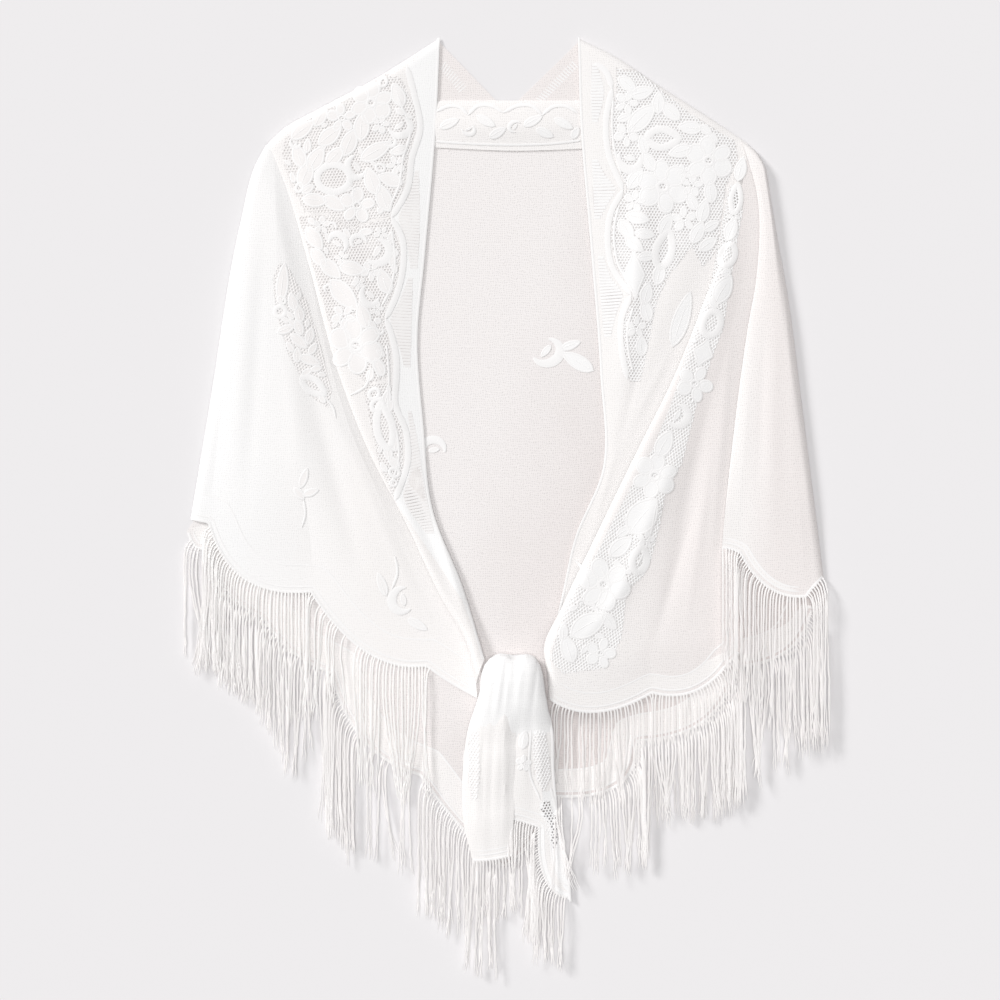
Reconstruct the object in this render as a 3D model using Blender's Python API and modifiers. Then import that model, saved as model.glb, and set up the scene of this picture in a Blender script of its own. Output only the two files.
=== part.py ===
"""A fringed lace shawl, laid flat with its fronts folded in and its two ends tied in a knot.

The tables are in millimetres, seen from above: +X to the right, +Y towards the neck, +Z up from
the surface that the shawl lies on. The model itself is in metres. Left and right are the
viewer's. One triangle of cloth makes all the panels, and each stretch of it that shows is its
own solid.
"""

from collections import namedtuple
from math import cos, hypot, pi, sin, sqrt

import bmesh
import bpy
from mathutils import Vector

MM = 0.001
WALL = 1.2             # thickness of the cloth
GAP = 0.4              # air between one piece and the next
FLOOR_EDGE = WALL / 2  # height of the middle of the wall where a folded side meets the surface
TURN = 9.0             # distance over which a folded side comes down to its lower edge
TUCK = 40.0            # distance over which cloth flattens towards a side that others cover
CURVE_STEPS = 6        # straight steps between two places of a smooth line
LOBE_STEP = 11.0       # length of the straight steps round a lobe of a hem
CLOSE_STEPS = (0.1, 0.35)  # extra places beside a turned-down side, as shares of one step

NECK_FOLD = 345.0      # where the back neck is folded over, measured up from the middle
NECK_POINT = 394.0     # where the edge of the neck meets the neck point of a front
NECK_EDGE_WIDTH = 5.0  # how much of that edge lies under the front
BACK_INSET = 3.0       # the back stops this far inside the folded sides
SHOULDER_INSET = 4.0   # and this far inside the shoulders
SHOULDER_SHARE = 0.87  # the back's shoulder ends here, short of the neck point

STRAND_WIDTH = 1.1
STRAND_HEIGHT = 1.0
STRAND_CLEAR = 1.8     # least distance between strands as they hang
STRIP_WIDTH = 1.6      # width of the narrow heading that the strands hang from
CUSP_CLEAR = 4.5       # no strand starts this close to a cusp of the hem
MITRE_LEAST = 0.6      # cosine that stops the heading from reaching too far out at a cusp
LEAN = 6.0             # how far a strand leans out from a steep hem before it hangs down
LEAN_BY_BEND = 0.8     # share of the lean that is reached where the strand bends over
BEND_DROP = 7.0        # how far below its root a strand bends over
HANG_DROP = 30.0       # how far below its root it hangs straight
FRINGE_DROP = 98.0     # how far a strand reaches down from its hem

CLOTH_COLOUR = (0.94, 0.91, 0.89, 1.0)
FRINGE_COLOUR = (0.95, 0.93, 0.92, 1.0)
ROUGHNESS = 0.85

Lobe = namedtuple("Lobe", "x y belly_x belly_y")
Rise = namedtuple("Rise", "along left middle right")
Fold = namedtuple("Fold", "from_x from_y to_x to_y height width")
Pleats = namedtuple("Pleats", "count fade")
Panel = namedtuple("Panel", "head foot left right rises folds pleats turned tucked columns rows")
NeckEdge = namedtuple("NeckEdge", "side neck_x meet_x hidden_x")
KnotRow = namedtuple("KnotRow", "y left right under top")
Fringe = namedtuple("Fringe", "hem start end pitch strip strand drop")


# ---------------------------------------------------------------- lines in the plane

class Line:
    """A line through the plane that is read by the share of its length that has been passed."""

    def __init__(self, points, cusps=()):
        self.points = [Vector(p) for p in points]
        self.passed = [0.0]
        for a, b in zip(self.points, self.points[1:]):
            self.passed.append(self.passed[-1] + (b - a).length)
        self.length = self.passed[-1]
        self.cusps = [self.passed[number] / self.length for number in cusps]

    def at(self, share):
        goal = min(max(share, 0.0), 1.0) * self.length
        for i in range(1, len(self.points)):
            if goal <= self.passed[i] or i == len(self.points) - 1:
                run = self.passed[i] - self.passed[i - 1]
                t = (goal - self.passed[i - 1]) / run if run else 0.0
                return self.points[i - 1].lerp(self.points[i], min(max(t, 0.0), 1.0))

    def outward(self, share, reach=0.02):
        """Unit vector square to the line, to the right of the way it runs."""
        along = self.at(share + reach) - self.at(share - reach)
        return Vector((along.y, -along.x)).normalized()


def smooth(*places):
    """A smooth curve through a few places, its bend shared out by the distance between them."""
    knots = [Vector(p) for p in places]
    if len(knots) == 2:
        return Line(knots)
    padded = [2 * knots[0] - knots[1]] + knots + [2 * knots[-1] - knots[-2]]
    slopes = []
    for before, here, after in zip(padded, padded[1:], padded[2:]):
        run_in, run_out = (here - before).length, (after - here).length
        slopes.append(((after - here) / run_out * run_in + (here - before) / run_in * run_out)
                      / (run_in + run_out))
    points = [knots[0]]
    for a, b, slope_a, slope_b in zip(knots, knots[1:], slopes, slopes[1:]):
        run = (b - a).length
        for step in range(1, CURVE_STEPS + 1):
            t = step / CURVE_STEPS
            points.append(a * (1 + 2 * t) * (1 - t) ** 2 + b * t * t * (3 - 2 * t)
                          + slope_a * run * t * (1 - t) ** 2 - slope_b * run * t * t * (1 - t))
    return Line(points)


def scalloped(start, lobes):
    """A hem of lobes: each runs from the last cusp over its belly to its own cusp."""
    points = [Vector(start)]
    cusps = [0]
    for lobe in lobes:
        a = points[-1].copy()
        cusp = Vector((lobe.x, lobe.y))
        pull = 2 * Vector((lobe.belly_x, lobe.belly_y)) - (a + cusp) / 2
        steps = max(2, round((cusp - a).length / LOBE_STEP))
        for step in range(1, steps + 1):
            t = step / steps
            points.append(a * (1 - t) ** 2 + pull * 2 * t * (1 - t) + cusp * t * t)
        cusps.append(len(points) - 1)
    return Line(points, cusps)


def moved_in(line, distance, steps):
    """Points along a line, moved to the right of the way it runs."""
    points = []
    for step in range(steps + 1):
        share = step / steps
        points.append(line.at(share) + line.outward(share) * distance)
    return points


# ---------------------------------------------------------------- the shawl's own lines

LEFT_SIDE = smooth((-206, 303), (-214, 290), (-226, 244), (-252, 91), (-269, -11))
LEFT_SHOULDER = smooth((-203, 309), (-190, 321), (-160, 338), (-113, 363), (-57, 398))
RIGHT_SHOULDER = smooth((60, 398), (94, 381), (127, 359), (180, 325), (205, 308))
RIGHT_SIDE = smooth((220, 288), (227, 244), (239, 176), (250, 91), (269, -60))

LEFT_FREE_EDGE = smooth((-57, 398), (-60, 329), (-70, 210), (-76, 142), (-71, 69), (-63, -3),
                        (-38, -67), (-19, -129))
LEFT_LAPEL_FOLD = smooth((-203, 309), (-190, 278), (-169, 208), (-145, 119), (-118, 48),
                         (-85, -16), (-57, -76), (-34, -118), (-26, -150))
LEFT_WING_INNER = smooth((-196, 298), (-179, 270), (-159, 205), (-135, 117), (-108, 47),
                         (-75, -16), (-47, -77), (-30, -121), (-25, -163))
RIGHT_FREE_EDGE = smooth((60, 398), (62, 329), (71, 218), (79, 113), (81, 32), (57, -28),
                         (47, -73), (40, -104))
RIGHT_LAPEL_INNER = smooth((205, 308), (201, 242), (178, 175), (146, 102), (123, 51), (85, -26),
                           (62, -75), (50, -100))
RIGHT_RIDGE = smooth((203, 294), (192, 238), (168, 176), (138, 103), (113, 53), (74, -27),
                     (46, -86), (31, -121), (34, -142), (35, -163))
RIGHT_FRONT_INNER = smooth((216, 282), (219, 193), (215, 146), (207, 91), (201, 45), (196, -12),
                           (198, -124))
RIGHT_WING_INNER = smooth((207, 305), (213, 262), (211, 193), (204, 152), (196, 95), (190, 45),
                          (184, -12), (182, -36))

LEFT_HEM = scalloped((-269, -11), [
    Lobe(x=-254, y=-14, belly_x=-261, belly_y=-13),
    Lobe(x=-167, y=-73, belly_x=-223, belly_y=-62),
    Lobe(x=-69, y=-136, belly_x=-120, belly_y=-124),
    Lobe(x=-25, y=-163, belly_x=-47, belly_y=-151),
])
RIGHT_FRONT_HEM = scalloped((35, -163), [
    Lobe(x=123, y=-159, belly_x=75, belly_y=-175),
    Lobe(x=188, y=-134, belly_x=159, belly_y=-158),
    Lobe(x=198, y=-124, belly_x=194, belly_y=-129),
])
RIGHT_WING_HEM = scalloped((182, -36), [
    Lobe(x=197, y=-40, belly_x=190, belly_y=-37),
    Lobe(x=254, y=-77, belly_x=222, belly_y=-70),
    Lobe(x=269, y=-60, belly_x=260, belly_y=-69),
])
BACK_HEM_LEFT = scalloped((-272, -21), [
    Lobe(x=-264, y=-36, belly_x=-269, belly_y=-30),
    Lobe(x=-253, y=-36, belly_x=-258, belly_y=-37),
    Lobe(x=-208, y=-95, belly_x=-237, belly_y=-73),
    Lobe(x=-150, y=-142, belly_x=-183, belly_y=-124),
    Lobe(x=-74, y=-229, belly_x=-123, belly_y=-199),
    Lobe(x=-3, y=-307, belly_x=-40, belly_y=-273),
])
BACK_HEM_RIGHT = scalloped((-3, -307), [
    Lobe(x=39, y=-247, belly_x=21, belly_y=-285),
    Lobe(x=111, y=-200, belly_x=94, belly_y=-238),
    Lobe(x=194, y=-137, belly_x=168, belly_y=-183),
    Lobe(x=259, y=-90, belly_x=238, belly_y=-124),
    Lobe(x=272, y=-84, belly_x=266, belly_y=-91),
])
WIDE_TAIL_HEM = scalloped((-29, -301), [Lobe(x=5, y=-296, belly_x=-14, belly_y=-300)])
POINTED_TAIL_LOBES = [
    Lobe(x=26, y=-272, belly_x=14, belly_y=-268),
    Lobe(x=52, y=-333, belly_x=32, belly_y=-307),
]
POINTED_TAIL_HEM = scalloped((-1, -264), POINTED_TAIL_LOBES)
POINTED_TAIL_LEFT = scalloped((12.5, -165), [Lobe(x=-1, y=-264, belly_x=1, belly_y=-212)]
                              + POINTED_TAIL_LOBES)

# ---------------------------------------------------------------- the panels

# Rise rows give the height of the middle of the wall at a panel's left edge, its middle and its
# right edge, at a share of the way along from its head (0) to its foot (1). Turned sides come
# down to the height given. A tucked panel is flat where others cover its right side. Pleats fade
# out towards a panel's left edge by the share given, where another panel covers it.
PANELS = {
    "left_wing": Panel(
        head=smooth((-206, 303), (-201, 303), (-196, 298)),
        foot=LEFT_HEM,
        left=LEFT_SIDE,
        right=LEFT_WING_INNER,
        rises=[Rise(along=0.00, left=3.5, middle=3.2, right=2.4),
               Rise(along=0.30, left=5.0, middle=8.5, right=2.5),
               Rise(along=0.70, left=5.5, middle=9.5, right=2.5),
               Rise(along=1.00, left=3.6, middle=3.4, right=2.4)],
        folds=[Fold(from_x=-215, from_y=270, to_x=-232, to_y=20, height=3.0, width=16),
               Fold(from_x=-180, from_y=150, to_x=-120, to_y=-70, height=-2.5, width=13)],
        pleats=None,
        turned={"left": FLOOR_EDGE}, tucked=True,
        columns=20, rows=11),
    "left_lapel": Panel(
        head=LEFT_SHOULDER,
        foot=smooth((-26, -150), (-23.5, -140), (-19, -129)),
        left=LEFT_LAPEL_FOLD,
        right=LEFT_FREE_EDGE,
        rises=[Rise(along=0.00, left=5.5, middle=7.0, right=5.5),
               Rise(along=0.25, left=6.5, middle=7.5, right=5.0),
               Rise(along=0.60, left=7.0, middle=6.5, right=3.2),
               Rise(along=0.90, left=8.5, middle=9.5, right=6.5),
               Rise(along=1.00, left=10.0, middle=13.0, right=10.0)],
        folds=[Fold(from_x=-150, from_y=250, to_x=-88, to_y=60, height=3.0, width=14),
               Fold(from_x=-95, from_y=40, to_x=-38, to_y=-95, height=-2.2, width=9)],
        pleats=None,
        turned={"head": FLOOR_EDGE, "left": 4.8}, tucked=False,
        columns=10, rows=16),
    "right_lapel": Panel(
        head=RIGHT_SHOULDER,
        foot=smooth((40, -104), (45, -103), (50, -100)),
        left=RIGHT_FREE_EDGE,
        right=RIGHT_LAPEL_INNER,
        rises=[Rise(along=0.00, left=5.5, middle=6.0, right=2.8),
               Rise(along=0.25, left=5.0, middle=6.5, right=2.6),
               Rise(along=0.60, left=3.4, middle=4.6, right=2.6),
               Rise(along=0.90, left=4.5, middle=3.8, right=2.6),
               Rise(along=1.00, left=6.0, middle=4.4, right=2.8)],
        folds=[Fold(from_x=120, from_y=290, to_x=96, to_y=90, height=2.5, width=14)],
        pleats=None,
        turned={"head": FLOOR_EDGE}, tucked=True,
        columns=10, rows=16),
    "right_front": Panel(
        head=smooth((203, 294), (210, 289), (216, 282)),
        foot=RIGHT_FRONT_HEM,
        left=RIGHT_RIDGE,
        right=RIGHT_FRONT_INNER,
        rises=[Rise(along=0.00, left=5.4, middle=4.8, right=4.2),
               Rise(along=0.30, left=10.0, middle=5.5, right=3.0),
               Rise(along=0.65, left=11.0, middle=5.0, right=2.6),
               Rise(along=0.90, left=13.0, middle=6.5, right=2.6),
               Rise(along=1.00, left=12.0, middle=3.4, right=2.6)],
        folds=[Fold(from_x=150, from_y=60, to_x=80, to_y=-110, height=2.5, width=12),
               Fold(from_x=178, from_y=120, to_x=128, to_y=-120, height=-1.8, width=12)],
        pleats=None,
        turned={"left": 5.6}, tucked=True,
        columns=16, rows=13),
    "right_wing": Panel(
        head=smooth((207, 305), (214, 298), (220, 288)),
        foot=RIGHT_WING_HEM,
        left=RIGHT_WING_INNER,
        right=RIGHT_SIDE,
        rises=[Rise(along=0.00, left=8.0, middle=8.0, right=7.0),
               Rise(along=0.35, left=8.0, middle=9.5, right=6.5),
               Rise(along=0.75, left=8.0, middle=9.5, right=6.0),
               Rise(along=1.00, left=5.4, middle=5.0, right=4.0)],
        folds=[Fold(from_x=228, from_y=200, to_x=222, to_y=-40, height=2.2, width=11)],
        pleats=None,
        turned={"head": FLOOR_EDGE, "right": FLOOR_EDGE, "left": 6.0}, tucked=False,
        columns=10, rows=11),
    "neck_fold_band": Panel(
        head=smooth((-65, NECK_FOLD), (68, NECK_FOLD)),
        foot=smooth((-65, 305), (10, 302), (68, 304)),
        left=smooth((-65, NECK_FOLD), (-65, 305)),
        right=smooth((68, NECK_FOLD), (68, 304)),
        rises=[Rise(along=0.00, left=2.3, middle=3.0, right=2.3),
               Rise(along=0.50, left=2.4, middle=4.6, right=2.4),
               Rise(along=1.00, left=2.2, middle=2.6, right=2.2)],
        folds=[],
        pleats=None,
        turned={"head": FLOOR_EDGE}, tucked=False,
        columns=8, rows=4),
    "tail_wide": Panel(
        head=smooth((-25, -165), (-7, -167), (11, -165)),
        foot=WIDE_TAIL_HEM,
        left=smooth((-25, -165), (-32, -184), (-37, -217), (-37, -268), (-29, -301)),
        right=smooth((11, -165), (11, -215), (8, -266), (5, -296)),
        rises=[Rise(along=0.00, left=11.0, middle=17.0, right=12.0),
               Rise(along=0.30, left=5.5, middle=10.0, right=8.0),
               Rise(along=0.70, left=4.4, middle=7.0, right=6.2),
               Rise(along=1.00, left=4.2, middle=5.2, right=4.8)],
        folds=[],
        pleats=Pleats(count=4, fade=0.0),
        turned={}, tucked=False,
        columns=24, rows=8),
    "tail_pointed": Panel(
        head=smooth((12.5, -165), (22, -166), (32, -163)),
        foot=smooth((52, -333), (55, -335)),
        left=POINTED_TAIL_LEFT,
        right=smooth((32, -163), (38, -184), (40, -223), (44, -266), (46, -292), (55, -335)),
        rises=[Rise(along=0.00, left=7.0, middle=11.0, right=8.0),
               Rise(along=0.15, left=3.0, middle=4.4, right=4.4),
               Rise(along=0.60, left=3.0, middle=3.6, right=3.6),
               Rise(along=1.00, left=3.0, middle=3.0, right=3.0)],
        folds=[],
        pleats=Pleats(count=2, fade=1.0),
        turned={}, tucked=False,
        columns=12, rows=16),
}
PLEAT_AT_KNOT = 1.9    # half the height of a tail's pleats where they leave the knot
PLEAT_AT_HEM = 0.7     # and at the tail's hem

NECK_EDGES = {
    "neck_edge_left": NeckEdge(side=-1, neck_x=-57, meet_x=-8, hidden_x=-69),
    "neck_edge_right": NeckEdge(side=1, neck_x=60, meet_x=8, hidden_x=72),
}

KNOT_ROWS = [
    KnotRow(y=-126.0, left=-10, right=22, under=5.0, top=13.0),
    KnotRow(y=-128.5, left=-15, right=25, under=2.6, top=18.0),
    KnotRow(y=-134.0, left=-19, right=29, under=1.8, top=23.5),
    KnotRow(y=-143.0, left=-22, right=32, under=1.8, top=26.5),
    KnotRow(y=-154.0, left=-23, right=33, under=1.8, top=25.5),
    KnotRow(y=-161.5, left=-22, right=31, under=2.4, top=21.5),
]
KNOT_SIDES = 22
KNOT_SQUARENESS = 0.62
KNOT_PLEATS = 3.5
KNOT_PLEAT_DEPTH = 1.1

FRINGES = {
    "fringe_left_front": Fringe(hem=LEFT_HEM, start=0.01, end=0.93, pitch=9.0, strip=(3.2, 2.6),
                                strand=2.3, drop=0.97),
    "fringe_right_front": Fringe(hem=RIGHT_FRONT_HEM, start=0.07, end=0.97, pitch=9.0,
                                 strip=(2.8, 2.6), strand=2.3, drop=0.90),
    "fringe_right_wing": Fringe(hem=RIGHT_WING_HEM, start=0.01, end=0.97, pitch=7.0,
                                strip=(5.6, 4.4), strand=4.6, drop=1.05),
    "fringe_back_left": Fringe(hem=BACK_HEM_LEFT, start=0.02, end=0.985, pitch=9.0,
                               strip=(0.9, 0.9), strand=0.9, drop=1.08),
    "fringe_back_right": Fringe(hem=BACK_HEM_RIGHT, start=0.03, end=0.97, pitch=9.0,
                                strip=(0.9, 0.9), strand=0.9, drop=0.84),
    "fringe_tail_wide": Fringe(hem=WIDE_TAIL_HEM, start=0.02, end=0.90, pitch=6.0,
                               strip=(4.6, 5.0), strand=2.6, drop=0.78),
    "fringe_tail_pointed": Fringe(hem=POINTED_TAIL_HEM, start=0.10, end=0.97, pitch=6.0,
                                  strip=(2.8, 2.6), strand=2.4, drop=0.72),
}


# ---------------------------------------------------------------- making

def remove_everything():
    for item in list(bpy.data.objects):
        bpy.data.objects.remove(item, do_unlink=True)


def plain_material(name, colour):
    material = bpy.data.materials.new(name)
    material.use_nodes = True
    shader = material.node_tree.nodes["Principled BSDF"]
    shader.inputs["Base Color"].default_value = colour
    shader.inputs["Roughness"].default_value = ROUGHNESS
    shader.inputs["Metallic"].default_value = 0.0
    return material


def new_object(name, data, collection, colour):
    """An object in the shawl's collection, with a material of its own."""
    piece = bpy.data.objects.new(name, data)
    piece.data.materials.append(plain_material(name.replace("_", " "), colour))
    collection.objects.link(piece)
    return piece


def between(rises, across, along):
    """Height from a panel's rise rows: smooth along the panel, an even bow across it."""
    for low, high in zip(rises, rises[1:]):
        if along <= high.along:
            break
    t = min(max((along - low.along) / (high.along - low.along), 0.0), 1.0)
    t = t * t * (3 - 2 * t)
    left = low.left + (high.left - low.left) * t
    middle = low.middle + (high.middle - low.middle) * t
    right = low.right + (high.right - low.right) * t
    level = left + (right - left) * across
    return level + (middle - (left + right) / 2) * 4 * across * (1 - across)


def fold_height(fold, x, y):
    """A soft ridge, or a trough where its height is negative, that dies away at both ends."""
    run_x = fold.to_x - fold.from_x
    run_y = fold.to_y - fold.from_y
    length = hypot(run_x, run_y)
    along = ((x - fold.from_x) * run_x + (y - fold.from_y) * run_y) / length ** 2
    aside = ((x - fold.from_x) * run_y - (y - fold.from_y) * run_x) / length
    if along <= 0 or along >= 1:
        return 0.0
    return fold.height * sin(pi * along) / (1 + (aside / fold.width) ** 2) ** 2


def folded_down(height, low, distance):
    """Height of cloth that turns down to a lower edge, some distance in from that edge."""
    if distance >= TURN or height <= low:
        return height
    return low + (height - low) * sqrt(1 - (1 - distance / TURN) ** 2)


def panel_point(panel, across, along):
    """A point in the middle of a panel's wall (a Coons patch of its four edges)."""
    head, foot = panel.head.at(across), panel.foot.at(across)
    left, right = panel.left.at(along), panel.right.at(along)
    corners = ((1 - across) * (1 - along) * panel.head.at(0) + across * (1 - along) * panel.head.at(1)
               + (1 - across) * along * panel.foot.at(0) + across * along * panel.foot.at(1))
    place = ((1 - along) * head + along * foot + (1 - across) * left + across * right) - corners
    height = between(panel.rises, across, along)
    for fold in panel.folds:
        height += fold_height(fold, place.x, place.y)
    if panel.pleats:
        depth = PLEAT_AT_KNOT + (PLEAT_AT_HEM - PLEAT_AT_KNOT) * along
        depth *= 1 - panel.pleats.fade * (1 - across)
        height += depth * (1 - cos(2 * pi * panel.pleats.count * across))
    if panel.tucked:
        flatter = min((place - right).length / TUCK, 1.0)
        hidden = between(panel.rises, 1.0, along)
        height = hidden + (height - hidden) * flatter * flatter * (3 - 2 * flatter)
    edges = {"head": head, "left": left, "right": right}
    for side, low in panel.turned.items():
        height = folded_down(height, low, (place - edges[side]).length)
    return Vector((place.x, place.y, height))


def shares(count, close_at_start, close_at_end, cusps=(0.0, 1.0)):
    """Shares from 0 to 1: one on each cusp, even between them, more beside a turned-down side."""
    values = [0.0]
    for start, end in zip(cusps, cusps[1:]):
        steps = max(1, round(count * (end - start)))
        values += [start + (end - start) * step / steps for step in range(1, steps + 1)]
    if close_at_start:
        values += [step / count for step in CLOSE_STEPS]
    if close_at_end:
        values += [1 - step / count for step in CLOSE_STEPS]
    return sorted(values)


def cloth_panel(name, panel, collection):
    """A grid on the panel's surface, given its wall by Solidify."""
    across = shares(panel.columns, "left" in panel.turned, "right" in panel.turned,
                    panel.foot.cusps or (0.0, 1.0))
    along = shares(panel.rows, "head" in panel.turned, False, panel.left.cusps or (0.0, 1.0))
    mesh = bpy.data.meshes.new(name)
    shape = bmesh.new()
    bmesh.ops.create_grid(shape, x_segments=len(across) - 1, y_segments=len(along) - 1, size=1.0)
    for vertex in shape.verts:
        column = round((vertex.co.x + 1) / 2 * (len(across) - 1))
        row = round((1 - vertex.co.y) / 2 * (len(along) - 1))
        vertex.co = panel_point(panel, across[column], along[row]) * MM
    shape.to_mesh(mesh)
    shape.free()
    mesh.shade_smooth()
    piece = new_object(name, mesh, collection, CLOTH_COLOUR)
    wall = piece.modifiers.new("wall", "SOLIDIFY")
    wall.thickness = WALL * MM
    wall.offset = 0.0
    wall.use_even_offset = True


def flat_cloth(name, outline, collection):
    """Cloth that lies dead flat on the surface: a filled outline, one wall thick."""
    curve = bpy.data.curves.new(name, "CURVE")
    curve.dimensions = "2D"
    curve.fill_mode = "BOTH"
    curve.extrude = WALL / 2 * MM
    spline = curve.splines.new("POLY")
    spline.points.add(len(outline) - 1)
    for point, place in zip(spline.points, outline):
        point.co = (place[0] * MM, place[1] * MM, 0.0, 1.0)
    spline.use_cyclic_u = True
    piece = new_object(name, curve, collection, CLOTH_COLOUR)
    piece.location.z = WALL / 2 * MM


def part_of(line, start, end):
    """The stretch of a line between two shares of its length; it may run backwards."""
    steps = 12
    return Line([line.at(start + (end - start) * step / steps) for step in range(steps + 1)])


def back_outline():
    """The back lies inside the folded sides and shoulders, and ends in its own scalloped hem."""
    neck = NECK_FOLD - SHOULDER_INSET
    outline = [(-72, neck)]
    outline += moved_in(part_of(LEFT_SHOULDER, SHOULDER_SHARE, 0), -SHOULDER_INSET, 6)
    outline += moved_in(part_of(LEFT_SIDE, 0.03, 1), -BACK_INSET, 9)
    outline += BACK_HEM_LEFT.points
    outline += BACK_HEM_RIGHT.points[1:]
    outline += moved_in(part_of(RIGHT_SIDE, 1, 0), -BACK_INSET, 9)
    outline += moved_in(part_of(RIGHT_SHOULDER, 1, 1 - SHOULDER_SHARE), -SHOULDER_INSET, 6)
    outline += [(75, neck)]
    return outline


def neck_edge_outline(edge):
    """The edge of the back neck that rises from the folded band to one neck point."""
    low = NECK_FOLD + WALL / 2 + GAP
    return [(edge.hidden_x, low), (edge.meet_x, low), (edge.neck_x, NECK_POINT),
            (edge.neck_x + edge.side * NECK_EDGE_WIDTH, NECK_POINT - NECK_EDGE_WIDTH),
            (edge.hidden_x, NECK_POINT - 2 * NECK_EDGE_WIDTH)]


def knot_ring(row, turn_share):
    """One point round the knot's section at a row; its upper side is pleated."""
    angle = 2 * pi * turn_share
    half_width = (row.right - row.left) / 2
    half_height = (row.top - row.under) / 2
    c, s = cos(angle), sin(angle)
    reach_x = half_width * abs(c) ** KNOT_SQUARENESS * (1 if c >= 0 else -1)
    reach_z = half_height * abs(s) ** KNOT_SQUARENESS * (1 if s >= 0 else -1)
    if s > 0:
        reach_z -= KNOT_PLEAT_DEPTH * s * (1 - cos(2 * pi * KNOT_PLEATS * reach_x / half_width)) / 2
    return Vector(((row.left + row.right) / 2 + reach_x, row.y,
                   (row.under + row.top) / 2 + reach_z))


def knot(name, collection):
    """The tied band of cloth, one rounded solid lofted through its rows."""
    mesh = bpy.data.meshes.new(name)
    shape = bmesh.new()
    rings = []
    for row in KNOT_ROWS:
        ring = [shape.verts.new(knot_ring(row, side / KNOT_SIDES) * MM) for side in range(KNOT_SIDES)]
        rings.append(ring)
    for ring, following in zip(rings, rings[1:]):
        for side in range(KNOT_SIDES):
            after = (side + 1) % KNOT_SIDES
            shape.faces.new((ring[side], ring[after], following[after], following[side]))
    shape.faces.new(rings[0][::-1])
    shape.faces.new(rings[-1])
    bmesh.ops.recalc_face_normals(shape, faces=shape.faces)
    shape.to_mesh(mesh)
    shape.free()
    mesh.shade_smooth()
    new_object(name, mesh, collection, CLOTH_COLOUR)


def strand_roots(row):
    """Where strands leave a hem, and the line each hangs on, none across its neighbour's."""
    hem = row.hem
    count = int((row.end - row.start) * hem.length / row.pitch)
    roots = []
    for number in range(count):
        share = row.start + (number + 0.5) / count * (row.end - row.start)
        if min(abs(share - cusp) for cusp in hem.cusps) * hem.length < CUSP_CLEAR:
            continue
        hang_x = hem.at(share).x + hem.outward(share).x * LEAN
        if not roots or hang_x > roots[-1][1] + STRAND_CLEAR:
            roots.append((share, hang_x))
    return roots


def strand_path(row, share, hang_x):
    """Three places down a strand: bent over near the hem, hanging, and its uneven end."""
    root = row.hem.at(share)
    uneven = 1 + 0.05 * sin(hang_x * 2 * pi / 33 + 1) + 0.03 * sin(hang_x * 2 * pi / 103)
    sway = 0.5 * sin(hang_x * 2 * pi / 21)
    bend_x = root.x + (hang_x - root.x) * LEAN_BY_BEND
    return [Vector((bend_x, root.y - BEND_DROP)), Vector((hang_x, root.y - HANG_DROP)),
            Vector((hang_x + sway, root.y - FRINGE_DROP * row.drop * uneven))]


def fringe(name, row, collection):
    """A narrow heading that follows the hem outside its wall, with the strands drawn out of it."""
    hem = row.hem
    half_root = STRAND_WIDTH / 2 / hem.length
    near = CUSP_CLEAR / 2 / hem.length
    mesh = bpy.data.meshes.new(name)
    shape = bmesh.new()

    def heading_ring(share):
        """Inner low, inner high, outer high, outer low corners of the heading at a place."""
        place, out = hem.at(share), hem.outward(share, reach=near)
        mitre = 1 / max(out.dot(hem.outward(share - near, reach=near / 2)), MITRE_LEAST)
        level = row.strip[0] + (row.strip[1] - row.strip[0]) * share
        corners = []
        for reach, up in ((0, -1), (0, 1), (1, 1), (1, -1)):
            flat = place + out * mitre * (WALL / 2 + GAP + reach * STRIP_WIDTH)
            corners.append(shape.verts.new(Vector((flat.x, flat.y, level + up * STRAND_HEIGHT / 2)) * MM))
        return corners

    def strand(ring, places):
        """Draws a strand out of the heading's outer side, from a root of four corners."""
        for place in places:
            following = []
            for side, up in ((-1, -1), (-1, 1), (1, 1), (1, -1)):
                corner = Vector((place.x + side * STRAND_WIDTH / 2, place.y,
                                 row.strand + up * STRAND_HEIGHT / 2))
                following.append(shape.verts.new(corner * MM))
            join(ring, following)
            ring = following
        shape.faces.new(ring)

    def join(ring, following, open_side=None):
        for side in range(4):
            after = (side + 1) % 4
            if side != open_side:
                shape.faces.new((ring[side], ring[after], following[after], following[side]))

    roots = strand_roots(row)
    bends = [passed / hem.length for passed in hem.passed]
    bends = [bend for bend in bends
             if bend in hem.cusps or min(abs(bend - c) for c in hem.cusps) * hem.length > CUSP_CLEAR]
    last = heading_ring(row.start)
    shape.faces.new(last)
    done = row.start
    for share, hang_x in roots + [(row.end, None)]:
        for bend in bends:
            if done + 3 * half_root < bend < share - 3 * half_root:
                ring = heading_ring(bend)
                join(last, ring)
                last = ring
        if hang_x is None:
            ring = heading_ring(row.end)
            join(last, ring)
            shape.faces.new(ring)
        else:
            ring = heading_ring(share - half_root)
            join(last, ring)
            last = heading_ring(share + half_root)
            join(ring, last, open_side=2)
            strand((ring[3], ring[2], last[2], last[3]), strand_path(row, share, hang_x))
        done = share
    bmesh.ops.recalc_face_normals(shape, faces=shape.faces)
    shape.to_mesh(mesh)
    shape.free()
    new_object(name, mesh, collection, FRINGE_COLOUR)


def main():
    remove_everything()
    shawl = bpy.data.collections.new("lace_shawl")
    bpy.context.scene.collection.children.link(shawl)

    flat_cloth("back_panel", back_outline(), shawl)
    for name, edge in NECK_EDGES.items():
        flat_cloth(name, neck_edge_outline(edge), shawl)
    for name, panel in PANELS.items():
        cloth_panel(name, panel, shawl)
    knot("knot", shawl)
    for name, row in FRINGES.items():
        fringe(name, row, shawl)


main()
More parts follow.
